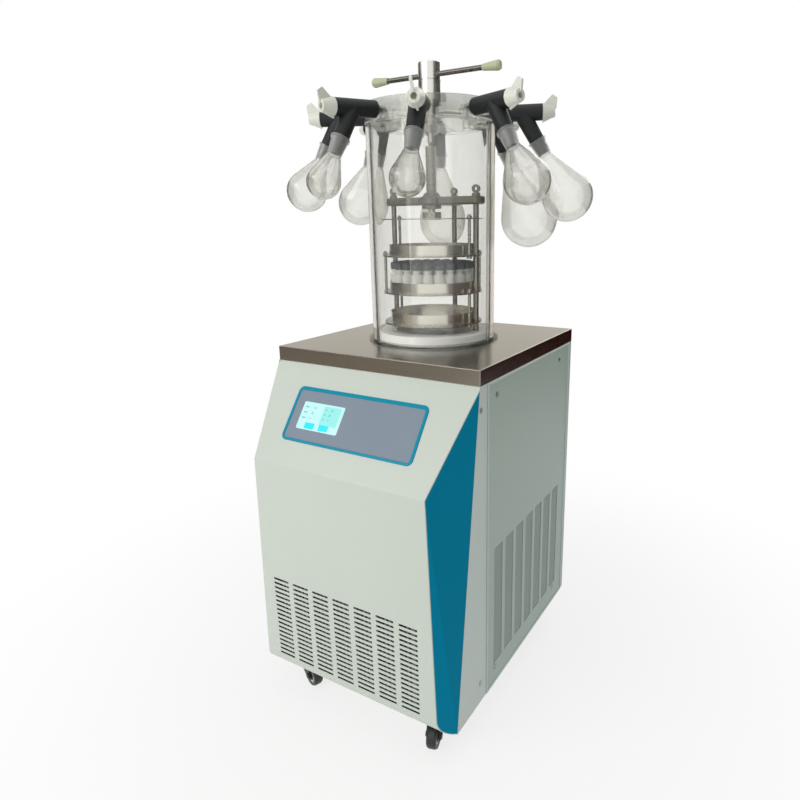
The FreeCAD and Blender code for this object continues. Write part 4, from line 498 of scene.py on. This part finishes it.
def reading(digits, x, up):
    """A row of seven-stroke digits: each stroke is a thin bar at its place in a two-square figure."""
    half = DIGIT_HIGH / 2
    strokes = []
    for n, digit in enumerate(digits):
        for name in SEGMENTS[digit]:
            dx, dz, lying, standing = STROKES[name]
            width = half * LYING_LONG if lying else STROKE_THICK
            height = half * STANDING_LONG if standing else STROKE_THICK
            at = (x + n * DIGIT_HIGH * DIGIT_SPACING + dx * half, up + dz * half)
            strokes.append(tile(*at, width, height, STROKE_ROUND, layer=3))
    return strokes


paint("touch_screen", lit("screen_ground", SCREEN_GROUND, strength=0.8))
pane = [tile(*PANE, layer=1)]
keys = [tile(*place, *KEY_SIZE, layer=2) for place in KEY_PLACES]
rows = []
for column in COLUMNS:
    for n in range(len(column["figures"])):
        mark_up = TOP_ROW - column["step"] * n
        rows.append(tile(column["mark_x"], mark_up, *column["mark"], MARK_ROUND, layer=2))
for column in COLUMNS:
    for n, digits in enumerate(column["figures"]):
        rows += reading(digits, column["x"], TOP_ROW - column["step"] * n)
pane_glow = lit("screen_pane", SCREEN_PANE, strength=0.75)
piece("screen_pane", pane, [pane_glow], "cabinet")
key_glow = lit("screen_keys", SCREEN_KEY, strength=0.85)
piece("screen_keys", keys, [key_glow], "cabinet")
figure_glow = lit("screen_readings", SCREEN_FIGURE, strength=0.55)
piece("screen_readings", rows, [figure_glow], "cabinet")

# ===============================================================================================
# Panel hems. The edges of the removable side panels are rolled over into a thin round hem that
# stands a little proud of the sheet all round and catches the light. It takes the lighter strip
# coat, not the panel's darker one, so the hem carries a painted highlight.

HEM_WIDE_MM = 4.6
HEM_PROUD_MM = 2.2
HEM_STEPS = 9


def hem(side):
    """Half an ellipse carried round the panel's rectangle, on the right (1) or the left (-1): its
    foot lies on the sheet from the edge inwards, and its crown stands out by the proud height."""
    low, high = (np.array(corner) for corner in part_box("side_panels"))
    middle, half = (low + high) / 2, (high - low) / 2
    turn = np.linspace(0, np.pi, HEM_STEPS)[:, None]
    inset = HEM_WIDE_MM * MM * (1 - np.cos(turn)) / 2
    proud = HEM_PROUD_MM * MM * np.sin(turn)
    signs = np.array([(-1, -1), (1, -1), (1, 1), (-1, 1)])
    y = middle[1] + signs[:, 0] * (half[1] - inset)
    z = middle[2] + signs[:, 1] * (half[2] - inset)
    x = np.broadcast_to(side * (half[0] + proud), y.shape)
    index = np.arange(x.size).reshape(x.shape)
    around, inwards = np.roll(index, -1, axis=1), np.roll(index, -1, axis=0)
    quads = np.stack([index, around, np.roll(around, -1, axis=0), inwards], axis=-1).reshape(-1, 4)
    return np.stack([x, y, z], axis=-1).reshape(-1, 3), quads[:, ::side].tolist()


# The hem takes the lighter strip coat: a painted highlight along the panel's edges.
piece("panel_hems", [hem(1), hem(-1)], [lit_strip_coat], "cabinet")

# ===============================================================================================
# Casters. Four swivel casters stand under the cabinet's floor, the front two with a foot brake.
# Forks and pedals are moulded in black plastic. A wheel is a rubber tyre on a moulded core, whose
# sides show a light grey ring round a black middle.

TYRE_FROM_MM = 16.8
RING_FROM_MM = 12.5
SCUFF_MM = 9

tyre, tyre_tree, tyre_surface = finish("caster_tyre", "#1A2320", Roughness=0.38)
scuffs = noise(tyre_tree, SCUFF_MM, detail=5.0)
uneven_gloss(tyre_tree, tyre_surface, scuffs, low=0.28, high=0.55)
core_grey = moulded("caster_core", "#B9C2BC", roughness=0.35)
core_black = moulded("caster_core_black", "#1D2221", roughness=0.4)

for corner in ("fl", "fr", "rl", "rr"):
    paint("caster_fork_" + corner, black_plastic)
    node = "caster_wheel_" + corner
    paint(node, tyre, core_grey, core_black)
    joint = next(j for j in frame["joints"] if j["name"] == "wheel_spin_" + corner)
    points, triangles = corners(node)
    from_axle = points[triangles].mean(1) - joint["pos_m"]
    along = from_axle @ np.array(joint["axis"])
    radius = np.linalg.norm(from_axle - along[:, None] * joint["axis"], axis=1) / MM
    part = np.where(radius > TYRE_FROM_MM, 0, np.where(radius > RING_FROM_MM, 1, 2))
    frame["nodes"][node].data.polygons.foreach_set("material_index", part.astype(np.int32))
for corner in ("fl", "fr"):
    paint("brake_pedal_" + corner, black_plastic)

# ===============================================================================================
# Chamber. Cast acrylic tube and lid, polished clear with a faint grey-green depth, sealed with
# clear silicone below and under the lid. The tube stands over a turned white plastic ring on the
# worktop, and a clear acrylic ring inside carries the rack.

ACRYLIC_IOR = 1.49
SILICONE_IOR = 1.42
TUBE_DEPTH = "#C2BFA9"
# The tube's rim colour, and the facing share where rim colours start, give a painted dark edge where
# clear parts are seen edge-on: painted reflection of dark surroundings.
TUBE_EDGE_SHADE = "#55544B"
LID_DEPTH = "#C9CDC0"
SILICONE_DEPTH = "#C9CDC4"
CLEAR_WHITE = "#FCFCFA"
UNBENT_TINT = [0.96, 0.965, 0.955, 1.0]
EDGE_SHADE_FROM = 0.7


def clear(name, ior, depth_colour, density, roughness=0.0, straight=0.0, haze=0.0, rim=None):
    """A clear solid: it bends light at its surface and takes on its colour with depth. Where a rim
    colour is given, the base colour turns to it where the solid is seen edge-on: a painted dark
    edge, a painted reflection of the dark surroundings that clear edges show. Lamps, and a straight
    share of what is seen, pass through it unbent, a little tinted; the share of haze is scattered
    back at the surface."""
    bends = {"Transmission_Weight": 1.0 - haze, "IOR": ior, "Roughness": roughness}
    material, tree, surface = finish(name, CLEAR_WHITE, **bends)
    if rim:
        # Painted reflection: edge-on, the base colour turns to the dark rim colour.
        facing = add(tree, "LayerWeight", {"Blend": 0.5}).outputs["Facing"]
        edge_on = add(tree, "MapRange", {"Value": facing, "From Min": EDGE_SHADE_FROM}).outputs[0]
        blend(tree, edge_on, linear(CLEAR_WHITE), linear(rim), surface.inputs["Base Color"])
    unbent = add(tree, "BsdfTransparent", {"Color": UNBENT_TINT})
    shadow = add(tree, "LightPath").outputs["Is Shadow Ray"]
    share = add(tree, "Math", {0: shadow, 1: straight}, operation="MAXIMUM").outputs[0]
    through = add(tree, "MixShader", {0: share, 1: surface.outputs[0], 2: unbent.outputs[0]})
    output = tree.nodes["Material Output"]
    tree.links.new(through.outputs[0], output.inputs["Surface"])
    if density:
        depth = add(tree, "VolumeAbsorption", {"Color": linear(depth_colour), "Density": density})
        tree.links.new(depth.outputs[0], output.inputs["Volume"])
    return material


# The rim colour gives the tube a painted dark edge: painted reflection.
tube_acrylic = {"density": 6, "haze": 0.04, "rim": TUBE_EDGE_SHADE}
lid_acrylic = {"density": 5, "roughness": 0.08, "straight": 0.5, "haze": 0.06}
silicone = {"density": 8, "roughness": 0.15, "straight": 0.75}
ring_acrylic = {"density": 16, "roughness": 0.05}
paint("chamber_tube", clear("acrylic_tube", ACRYLIC_IOR, TUBE_DEPTH, **tube_acrylic))
paint("chamber_lid", clear("acrylic_lid", ACRYLIC_IOR, LID_DEPTH, **lid_acrylic))
paint("chamber_seals", clear("clear_silicone", SILICONE_IOR, SILICONE_DEPTH, **silicone))
paint("support_ring", clear("acrylic_ring", ACRYLIC_IOR, TUBE_DEPTH, **ring_acrylic))
paint("base_ring", moulded("white_acetal", "#FAFBFB", 0.3, grain_mm=1.2, depth_mm=0.01))

# ===============================================================================================
# Shaft seal, handle and soft caps. Everything is turned from stainless bar: fine rings from the
# tool run round each piece, and the light stretches along it. The caps are cream soft vinyl.

TOOL_MARK_MM = 0.35
MARK_STRETCH = 400
MARK_DEEP_MM = 0.006


def turned_steel(name, colour, roughness, anisotropy=0.6, axis="Z"):
    """Turned stainless: rings a tool mark apart along the axis, gloss drawn out across them."""
    material, tree, surface = finish(name, colour, Metallic=1.0, Anisotropic=anisotropy)
    wide = [MARK_STRETCH if a != axis else 1 for a in "XYZ"]
    rings = noise(tree, TOOL_MARK_MM, stretch=wide)
    uneven_gloss(tree, surface, rings, roughness - 0.06, roughness + 0.08)
    bump(tree, surface, rings, MARK_DEEP_MM)
    tangent = add(tree, "Tangent", direction_type="RADIAL", axis=axis)
    tree.links.new(tangent.outputs[0], surface.inputs["Tangent"])
    return material


hub_steel = turned_steel("turned_hub", "#E2E0DA", roughness=0.2)
paint("gland", hub_steel)
paint("handle_hub", hub_steel)
# The bar's steel is drawn far darker than the hub's: a painted dark reflection, for the dark surroundings
# it would mirror.
paint("tee_bar", turned_steel("drawn_bar", "#6F6C66", 0.24, anisotropy=0.4, axis="X"))
paint("bar_caps", moulded("cream_vinyl", "#C9CBAB", 0.4, grain_mm=1.5, depth_mm=0.02))

# ===============================================================================================
# Rack. Three drawn stainless posts stand on the support ring and carry the machined bridge with
# its press nut. The pressing plate and three shelves are rolled plate and move along the posts
# on hanger rods, and each shelf carries a spun tray.

# Posts and bridge are drawn darker than the shelves' steel: painted reflection, for the darker
# surroundings they mirror.
paint("guide_posts", turned_steel("drawn_rods", "#96938B", 0.24, anisotropy=0.3))
paint("bridge_plate", turned_steel("machined_bridge", "#737067", roughness=0.32))
paint("stopper_plate", plain_metal("rolled_plate", "#AFACA4", roughness=0.28, grain_mm=8))
paint("shelves", plain_metal("rolled_shelves", "#B4B1A8", roughness=0.26, grain_mm=8))
paint("trays", turned_steel("spun_trays", "#E6E3D9", 0.2, anisotropy=0.2))

# ===============================================================================================
# Press screw. A stainless spindle with a rolled 4 mm round thread, bored to a hexagon that the
# handle's key slides in. It turns in the bridge's nut, and its foot in the pressing plate's pad.

LEAD_MM = 4.0
THREAD_DEPTH_MM = 1.3
NECK_R_MM = 7.3
FOOT_R_MM = 10.0
FOOT_T_MM = 3.0
FOOT_EDGE_MM = 0.4
KEY_CORNER_MM = 5.9
KEY_DEEP_MM = 62.0
THREAD_START_MM = 19.0
THREAD_END_MM = 0.8
CREST_LOW_MM = 0.15
TOP_EDGE_MM = 1.0
THREAD_STEPS = 12
THREAD_COLUMNS = 40


def press_screw_rings():
    """Rings up the spindle: foot and neck are plain circles; on the threaded length the radius at
    each turn angle is the crest less a cosine of height over lead minus angle over a full turn,
    so the crest climbs one lead for each turn. The rings end in the hexagon and go down inside it."""
    low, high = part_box("press_screw")
    crest = high.x / MM
    bottom, top = low.z / MM, high.z / MM
    turn = np.linspace(0, 2 * math.pi, THREAD_COLUMNS, endpoint=False)
    plain = [(FOOT_R_MM - FOOT_EDGE_MM, bottom), (FOOT_R_MM, bottom + FOOT_EDGE_MM)]
    plain += [(FOOT_R_MM, bottom + FOOT_T_MM), (NECK_R_MM, bottom + FOOT_T_MM)]
    plain += [(NECK_R_MM, bottom + THREAD_START_MM)]
    rows = [np.full(THREAD_COLUMNS, r) for r, z in plain]
    heights = [z for r, z in plain]
    start, end = bottom + THREAD_START_MM + THREAD_END_MM, top - THREAD_END_MM
    for z in np.linspace(start, end, int((end - start) / LEAD_MM * THREAD_STEPS)):
        wave = (1 - np.cos(2 * math.pi * z / LEAD_MM - turn)) / 2
        fade = min(1, (z - start) / LEAD_MM, (end - z) / LEAD_MM)
        rows.append(crest - CREST_LOW_MM - THREAD_DEPTH_MM * wave * fade)
        heights.append(z)
    sixth = math.pi / 3
    hexagon = KEY_CORNER_MM * math.cos(sixth / 2) / np.cos((turn + sixth / 2) % sixth - sixth / 2)
    for radius, z in ((crest - TOP_EDGE_MM, top), (hexagon, top), (hexagon, top - KEY_DEEP_MM)):
        rows.append(np.broadcast_to(radius, THREAD_COLUMNS))
        heights.append(z)
    radii, heights = np.array(rows)[:, :, None], np.array(heights)[:, None, None]
    circle = np.stack([np.cos(turn), np.sin(turn)], axis=1)
    flat = radii * circle
    return np.concatenate([flat, np.broadcast_to(heights, flat.shape[:2] + (1,))], axis=2) * MM


spindle = press_screw_rings()
piece(
    "press_spindle",
    [skin(spindle, [0, 0, spindle[0, 0, 2]], [0, 0, spindle[-1, 0, 2]])],
    [turned_steel("rolled_thread", "#B4B1A8", 0.26, anisotropy=0.3)],
    "press_screw",
    ["press_screw"],
)

# ===============================================================================================
# Vials and stoppers. Tubing-glass vials with a rolled lip stand packed on the middle tray, each
# under a fluted slate-blue butyl stopper that the pressing plate pushes home.

VIAL_GLASS = "#DDE4E0"
VIAL_EDGE_SHADE = "#747876"
VIAL_IOR = 1.48
VIAL_R_MM = 11.0
VIAL_NECK_R_MM = 7.0
VIAL_LIP_R_MM = 9.2
VIAL_WALL_MM = 1.0
VIAL_GAP_MM = 0.05
VIAL_COLUMNS = 20
BUTYL = "#35434B"
STOPPER_COLUMNS = 24
FLUTE_MM = 0.5
FLUTE_COUNT = 12
FLUTE_FROM_R_MM = 9.3


def solids_of(points, triangles):
    """Splits loose triangles into solids: corners at one place share a label, and the lowest label
    spreads over each triangle until none changes. Gives one array of triangle numbers a solid."""
    spot = np.unique(np.round(points, 6), axis=0, return_inverse=True)[1].reshape(-1)
    faces = spot[triangles]
    label = np.arange(spot.max() + 1)
    changed = True
    while changed:
        lowest = label[faces].min(1)
        spread = label.copy()
        np.minimum.at(spread, faces.ravel(), np.repeat(lowest, 3))
        spread = spread[spread]
        changed = bool((spread != label).any())
        label = spread
    solid = label[faces[:, 0]]
    return [np.flatnonzero(solid == n) for n in np.unique(solid)]


def places_of(node):
    """Where the solids of a node stand: the middle of each one's corners, seen from above."""
    points, triangles = corners(node)
    groups = [points[triangles[faces]].reshape(-1, 3) for faces in solids_of(points, triangles)]
    return np.array([(group.min(0) + group.max(0))[:2] / 2 for group in groups])


def spun(profile, columns, flutes=None):
    """Rings of a turned piece: each (radius, height) in millimetres goes round the axis."""
    profile = np.array(profile, float)
    turn = np.linspace(0, 2 * math.pi, columns, endpoint=False)
    radii = profile[:, :1] + (flutes(profile[:, :1], turn) if flutes else 0 * turn)
    heights = np.broadcast_to(profile[:, 1:], radii.shape)
    return np.stack([radii * np.cos(turn), radii * np.sin(turn), heights], axis=2) * MM


def vial_profile(height):
    """Outline of a vial from the edge of its floor up outside, over the lip and down inside."""
    r, neck, lip, wall = VIAL_R_MM, VIAL_NECK_R_MM, VIAL_LIP_R_MM, VIAL_WALL_MM
    body = [(r - 1.5, 0), (r, 1.5), (r, height - 12), (r - 1, height - 9.5)]
    throat = [(neck, height - 7), (neck, height - 4)]
    rolled_lip = [(lip, height - 3.5), (lip, height - 0.5), (lip - 0.5, height)]
    bore = [(neck - wall - 0.5, height), (neck - wall, height - 7)]
    inside = [(r - wall, height - 11.5), (r - wall, 2), (r - 2.5, 1.2)]
    return body + throat + rolled_lip + bore + inside


def stood(rings, places, base):
    """Copies of a turned piece at each place, standing at the base height."""
    made = []
    for x, y in places:
        moved = rings + [x, y, base]
        made.append(skin(moved, [x, y, moved[0, 0, 2]], [x, y, moved[-1, 0, 2]]))
    return made


vial_low, vial_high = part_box("vials")
stopper_low, stopper_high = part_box("stoppers")
vial_h = (vial_high.z - vial_low.z) / MM - VIAL_GAP_MM
stopper_h = (stopper_high.z - stopper_low.z) / MM
# The rim colour paints the vials' edges darker: painted reflection, for the dark lines their edges show.
tubing = {"density": 0, "straight": 0.6, "haze": 0.8, "rim": VIAL_EDGE_SHADE}
glass_vial = clear("tubing_glass", VIAL_IOR, VIAL_GLASS, **tubing)
piece(
    "glass_vials",
    stood(spun(vial_profile(vial_h), VIAL_COLUMNS), places_of("vials"), vial_low.z),
    [glass_vial],
    "rack",
    ["vials"],
    sharp_deg=60,
)


def flutes(radius, turn):
    """Twelve shallow grooves, on the skirt only: a cosine of twelve times the angle."""
    groove = FLUTE_MM * (1 - np.cos(FLUTE_COUNT * turn)) / 2
    return np.where(radius > FLUTE_FROM_R_MM, -groove, 0)


butyl, butyl_tree, butyl_surface = finish("slate_butyl", BUTYL, Roughness=0.5)
clouded(butyl_tree, butyl_surface, BUTYL, change=0.35, size_mm=14)
stopper_profile = [(8.6, 0), (10.0, 0.5), (10.0, stopper_h - 3), (9.4, stopper_h - 2.4)]
stopper_profile += [(8.6, stopper_h - 0.4), (7.9, stopper_h)]
piece(
    "fluted_stoppers",
    stood(spun(stopper_profile, STOPPER_COLUMNS, flutes), places_of("stoppers"), stopper_low.z),
    [butyl],
    "rack",
    ["stoppers"],
)

# ===============================================================================================
# Flask valves. Eight bodies moulded in matt black rubber sit with their nipples in the lid's
# ports. In each turns a cream polyamide plug with a thumb wing, which opens and vents its flask.

RUBBER = "#212526"
VALVES = 8

rubber_gloss = {"Roughness": 0.55, "Specular_IOR_Level": 0.35}
rubber, rubber_tree, rubber_surface = finish("black_rubber", "#1E2122", **rubber_gloss)
clouded(rubber_tree, rubber_surface, RUBBER, change=0.25, size_mm=12)
bloom = noise(rubber_tree, size_mm=0.7, detail=3.0)
bump(rubber_tree, rubber_surface, bloom, depth_mm=0.05)
paint("valve_bodies", rubber)
knob = moulded("cream_polyamide", "#F1F0E7", 0.35, grain_mm=1.5, depth_mm=0.015)
for number in range(1, VALVES + 1):
    paint(f"valve_plug_{number}", knob)

# ===============================================================================================
# Flasks. Eight flasks blown in clear borosilicate glass, four sizes. Each is pushed by its neck
# onto a valve's branch, and the tapered neck is ground matt over the length that seats.

GLASS_DEPTH = "#C1BFB2"
GLASS_EDGE_SHADE = "#242422"
GROUND_DEPTH = "#C9CCCA"
BOROSILICATE_IOR = 1.47
NECK_MM = 35.5

# The rim colour gives the bulbs a painted dark outline: painted reflection of dark surroundings at their
# edges.
bulb_glass = {"density": 65, "straight": 0.2, "rim": GLASS_EDGE_SHADE}
neck_glass = {"density": 30, "roughness": 0.35, "straight": 0.3, "haze": 0.14}
blown = clear("blown_glass", BOROSILICATE_IOR, GLASS_DEPTH, **bulb_glass)
ground = clear("ground_neck", BOROSILICATE_IOR, GROUND_DEPTH, **neck_glass)
points, triangles = corners("flasks")
paint("flasks", blown, ground)
in_neck = np.zeros(len(triangles), np.int32)
for faces in solids_of(points, triangles):
    # A flask is round about one axis, the one whose spread differs most from the other two.
    cloud = np.unique(np.round(points[triangles[faces]].reshape(-1, 3), 6), axis=0)
    centre = cloud.mean(0)
    sizes, ways = np.linalg.eigh(np.cov((cloud - centre).T))
    lone = 2 if sizes[2] - sizes[1] > sizes[1] - sizes[0] else 0
    axis = ways[:, lone] * (1 if ways[2, lone] > 0 else -1)
    along = (points[triangles[faces]] - centre) @ axis
    rim = along.max()
    in_neck[faces] = along.min(1) > rim - NECK_MM * MM
frame["nodes"]["flasks"].data.polygons.foreach_set("material_index", in_neck)

# ===============================================================================================
# Studio. A pale floor, a white surround that the camera, metal and glass see, and three soft
# lamps from the front left, above and behind, not seen themselves. Seven dark or tinted sheets
# stand outside the view and glow in their set colours, which only mirrors show: painted
# reflections that give metal and glass their edges.

WHITE = [1.0, 1.0, 1.0, 1.0]
SKY_TINT = "#F4F8F4"
SKY_LIGHT = 0.45
FLOOR_PAINT = "#F3F3F1"
FLOOR_HALF = 14.0
FLOOR_GAP = 0.0005
FLOOR_WHITE = (0.78, 1.0)
FLOOR_FADE = (0.3, 1.3)
FLAG_BROWN = "#241811"
FLAG_TAN = "#A89E8F"
FLAG_RED = "#3A1A13"
FLAG_GREY = "#4A4A45"
FLAG_STONE = "#ECE8DE"
CAMERA_AT = (0.6942, -1.1341, 0.9822)
CAMERA_TURN = (30.52, 14.27, -0.70)  # yaw, pitch down and roll, in degrees
LENS_MM = 27.86805
LENS_SHIFT = (-0.05555, -0.0282125)
SENSOR_MM = 36.0

scene = bpy.context.scene
scene.view_settings.view_transform = "Standard"


def seen_directly(tree):
    """One where the eye looks, straight on, through glass or by a reflection; else nothing."""
    rays = add(tree, "LightPath").outputs
    either = {0: rays["Is Camera Ray"], 1: rays["Is Transmission Ray"]}
    either = add(tree, "Math", either, operation="MAXIMUM").outputs[0]
    either = {0: either, 1: rays["Is Glossy Ray"]}
    return add(tree, "Math", either, operation="MAXIMUM").outputs[0]


world = bpy.data.worlds.new("surround")
world.use_nodes = True
scene.world = world
tree = world.node_tree
white = add(tree, "Background", {"Color": WHITE, "Strength": 1.0})
sky = add(tree, "Background", {"Color": linear(SKY_TINT), "Strength": SKY_LIGHT})
both = add(tree, "MixShader", {0: seen_directly(tree), 1: sky.outputs[0], 2: white.outputs[0]})
tree.links.new(both.outputs[0], tree.nodes["World Output"].inputs["Surface"])


def flat_sheet(name, centre, half_u, half_v, material):
    """A flat four-cornered sheet of the studio: its middle plus and minus two half sides."""
    centre, half_u, half_v = (np.array(v, float) for v in (centre, half_u, half_v))
    signs = ((-1, -1), (1, -1), (1, 1), (-1, 1))
    spots = [(centre + u * half_u + v * half_v).tolist() for u, v in signs]
    mesh = bpy.data.meshes.new(name)
    mesh.from_pydata(spots, [], [(0, 1, 2, 3)])
    mesh.materials.append(material)
    made = bpy.data.objects.new(name, mesh)
    scene.collection.objects.link(made)
    return made


floor_paint, floor_tree, floor_surface = finish("studio_floor", FLOOR_PAINT, Roughness=0.9)
clouded(floor_tree, floor_surface, FLOOR_PAINT, change=0.01, size_mm=900)
in_metres = {0: coords(floor_tree, 1000)}
from_middle = add(floor_tree, "VectorMath", in_metres, operation="LENGTH").outputs["Value"]
fade = dict(zip(("From Min", "From Max", "To Min", "To Max"), FLOOR_FADE + FLOOR_WHITE))
fade["Value"] = from_middle
whitened = add(floor_tree, "MapRange", fade, interpolation_type="SMOOTHSTEP")
share = {0: whitened.outputs[0], 1: seen_directly(floor_tree)}
share = add(floor_tree, "Math", share, operation="MULTIPLY").outputs[0]
glow = add(floor_tree, "Emission", {"Color": WHITE, "Strength": 1.0})
lit_floor = add(floor_tree, "MixShader", {0: share, 1: floor_surface.outputs[0], 2: glow.outputs[0]})
floor_tree.links.new(lit_floor.outputs[0], floor_tree.nodes["Material Output"].inputs["Surface"])
floor_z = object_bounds()[0].z - FLOOR_GAP
flat_sheet("studio_floor", (0, 0, floor_z), (FLOOR_HALF, 0, 0), (0, FLOOR_HALF, 0), floor_paint)

# Name, colour, middle, and the half sides of the sheet, in metres.
flag_specs = [
    ("left_flag", FLAG_BROWN, (-2.4, -0.45, 0.95), (0, 1.35, 0), (0, 0, 0.95)),
    ("front_low_flag", FLAG_TAN, (-1.5, -2.9, 0.17), (0.9, -1.1, 0), (0, 0, 0.17)),
    ("front_high_flag", FLAG_BROWN, (-1.5, -2.9, 1.12), (0.9, -1.1, 0), (0, 0, 0.78)),
    ("floor_flag", FLAG_TAN, (-2.05, -2.5, 0.003), (1.15, 0, 0), (0, 0.9, 0)),
    ("right_low_flag", FLAG_RED, (1.45, 1.2, 0.35), (-1.0, 2.2, 0), (0, 0, 0.35)),
    ("right_high_flag", FLAG_GREY, (1.45, 1.2, 1.3), (-1.0, 2.2, 0), (0, 0, 0.6)),
    ("back_flag", FLAG_STONE, (-1.7, 3.4, 1.5), (2.4, 0.8, 0), (0, 0, 1.5)),
]
# Each sheet glows in its listed colour and shows only in reflections: painted reflection.
for name, colour, middle, half_u, half_v in flag_specs:
    own_tone = {"Specular_IOR_Level": 0.0, "Emission_Strength": 1.0}
    glow_sheet, glow_tree, glow_surface = finish(name, "#000000", **own_tone)
    glow_surface.inputs["Emission Color"].default_value = linear(colour)
    mirrored = add(glow_tree, "LightPath").outputs["Glossy Depth"]
    unseen = add(glow_tree, "BsdfTransparent")
    only_mirrored = {0: mirrored, 1: unseen.outputs[0], 2: glow_surface.outputs[0]}
    output = glow_tree.nodes["Material Output"]
    glow_tree.links.new(add(glow_tree, "MixShader", only_mirrored).outputs[0], output.inputs["Surface"])
    flag = flat_sheet(name, middle, half_u, half_v, glow_sheet)
    flag.visible_camera = False
    flag.visible_diffuse = False
    flag.visible_shadow = False

# Name, place, target, side of the square, power in watts and colour.
lamp_specs = [
    ("key_lamp", (-1.5, -3.2, 1.7), (0, 0, 0.7), 2.6, 66.0, (1.0, 0.99, 0.96)),
    ("top_lamp", (0.2, -0.3, 3.4), (0, 0, 0.8), 1.6, 9.0, (0.95, 1.0, 0.97)),
    ("rear_lamp", (0.2, 2.8, 2.4), (0, 0, 0.9), 1.8, 20.0, (1.0, 1.0, 1.0)),
]
for name, place, target, size, power, colour in lamp_specs:
    lamp = bpy.data.lights.new(name, "AREA")
    lamp.shape, lamp.size, lamp.energy, lamp.color = "SQUARE", size, power, colour
    holder = bpy.data.objects.new(name, lamp)
    scene.collection.objects.link(holder)
    way = Vector(np.subtract(target, place).tolist())
    holder.visible_camera = False
    holder.visible_transmission = False
    holder.location = place
    holder.rotation_euler = way.to_track_quat("-Z", "Y").to_euler()

yaw, pitch, roll = (math.radians(a) for a in CAMERA_TURN)
camera = bpy.data.cameras.new("camera")
camera.sensor_width = SENSOR_MM
camera.lens = LENS_MM
camera.shift_x, camera.shift_y = LENS_SHIFT
camera.clip_start = 0.02
viewer = bpy.data.objects.new("camera", camera)
scene.collection.objects.link(viewer)
turned = Matrix.Rotation(yaw, 4, "Z") @ Matrix.Rotation(math.pi / 2 - pitch, 4, "X")
turned = turned @ Matrix.Rotation(roll, 4, "Z")
viewer.matrix_world = Matrix.Translation(CAMERA_AT) @ turned
scene.camera = viewer
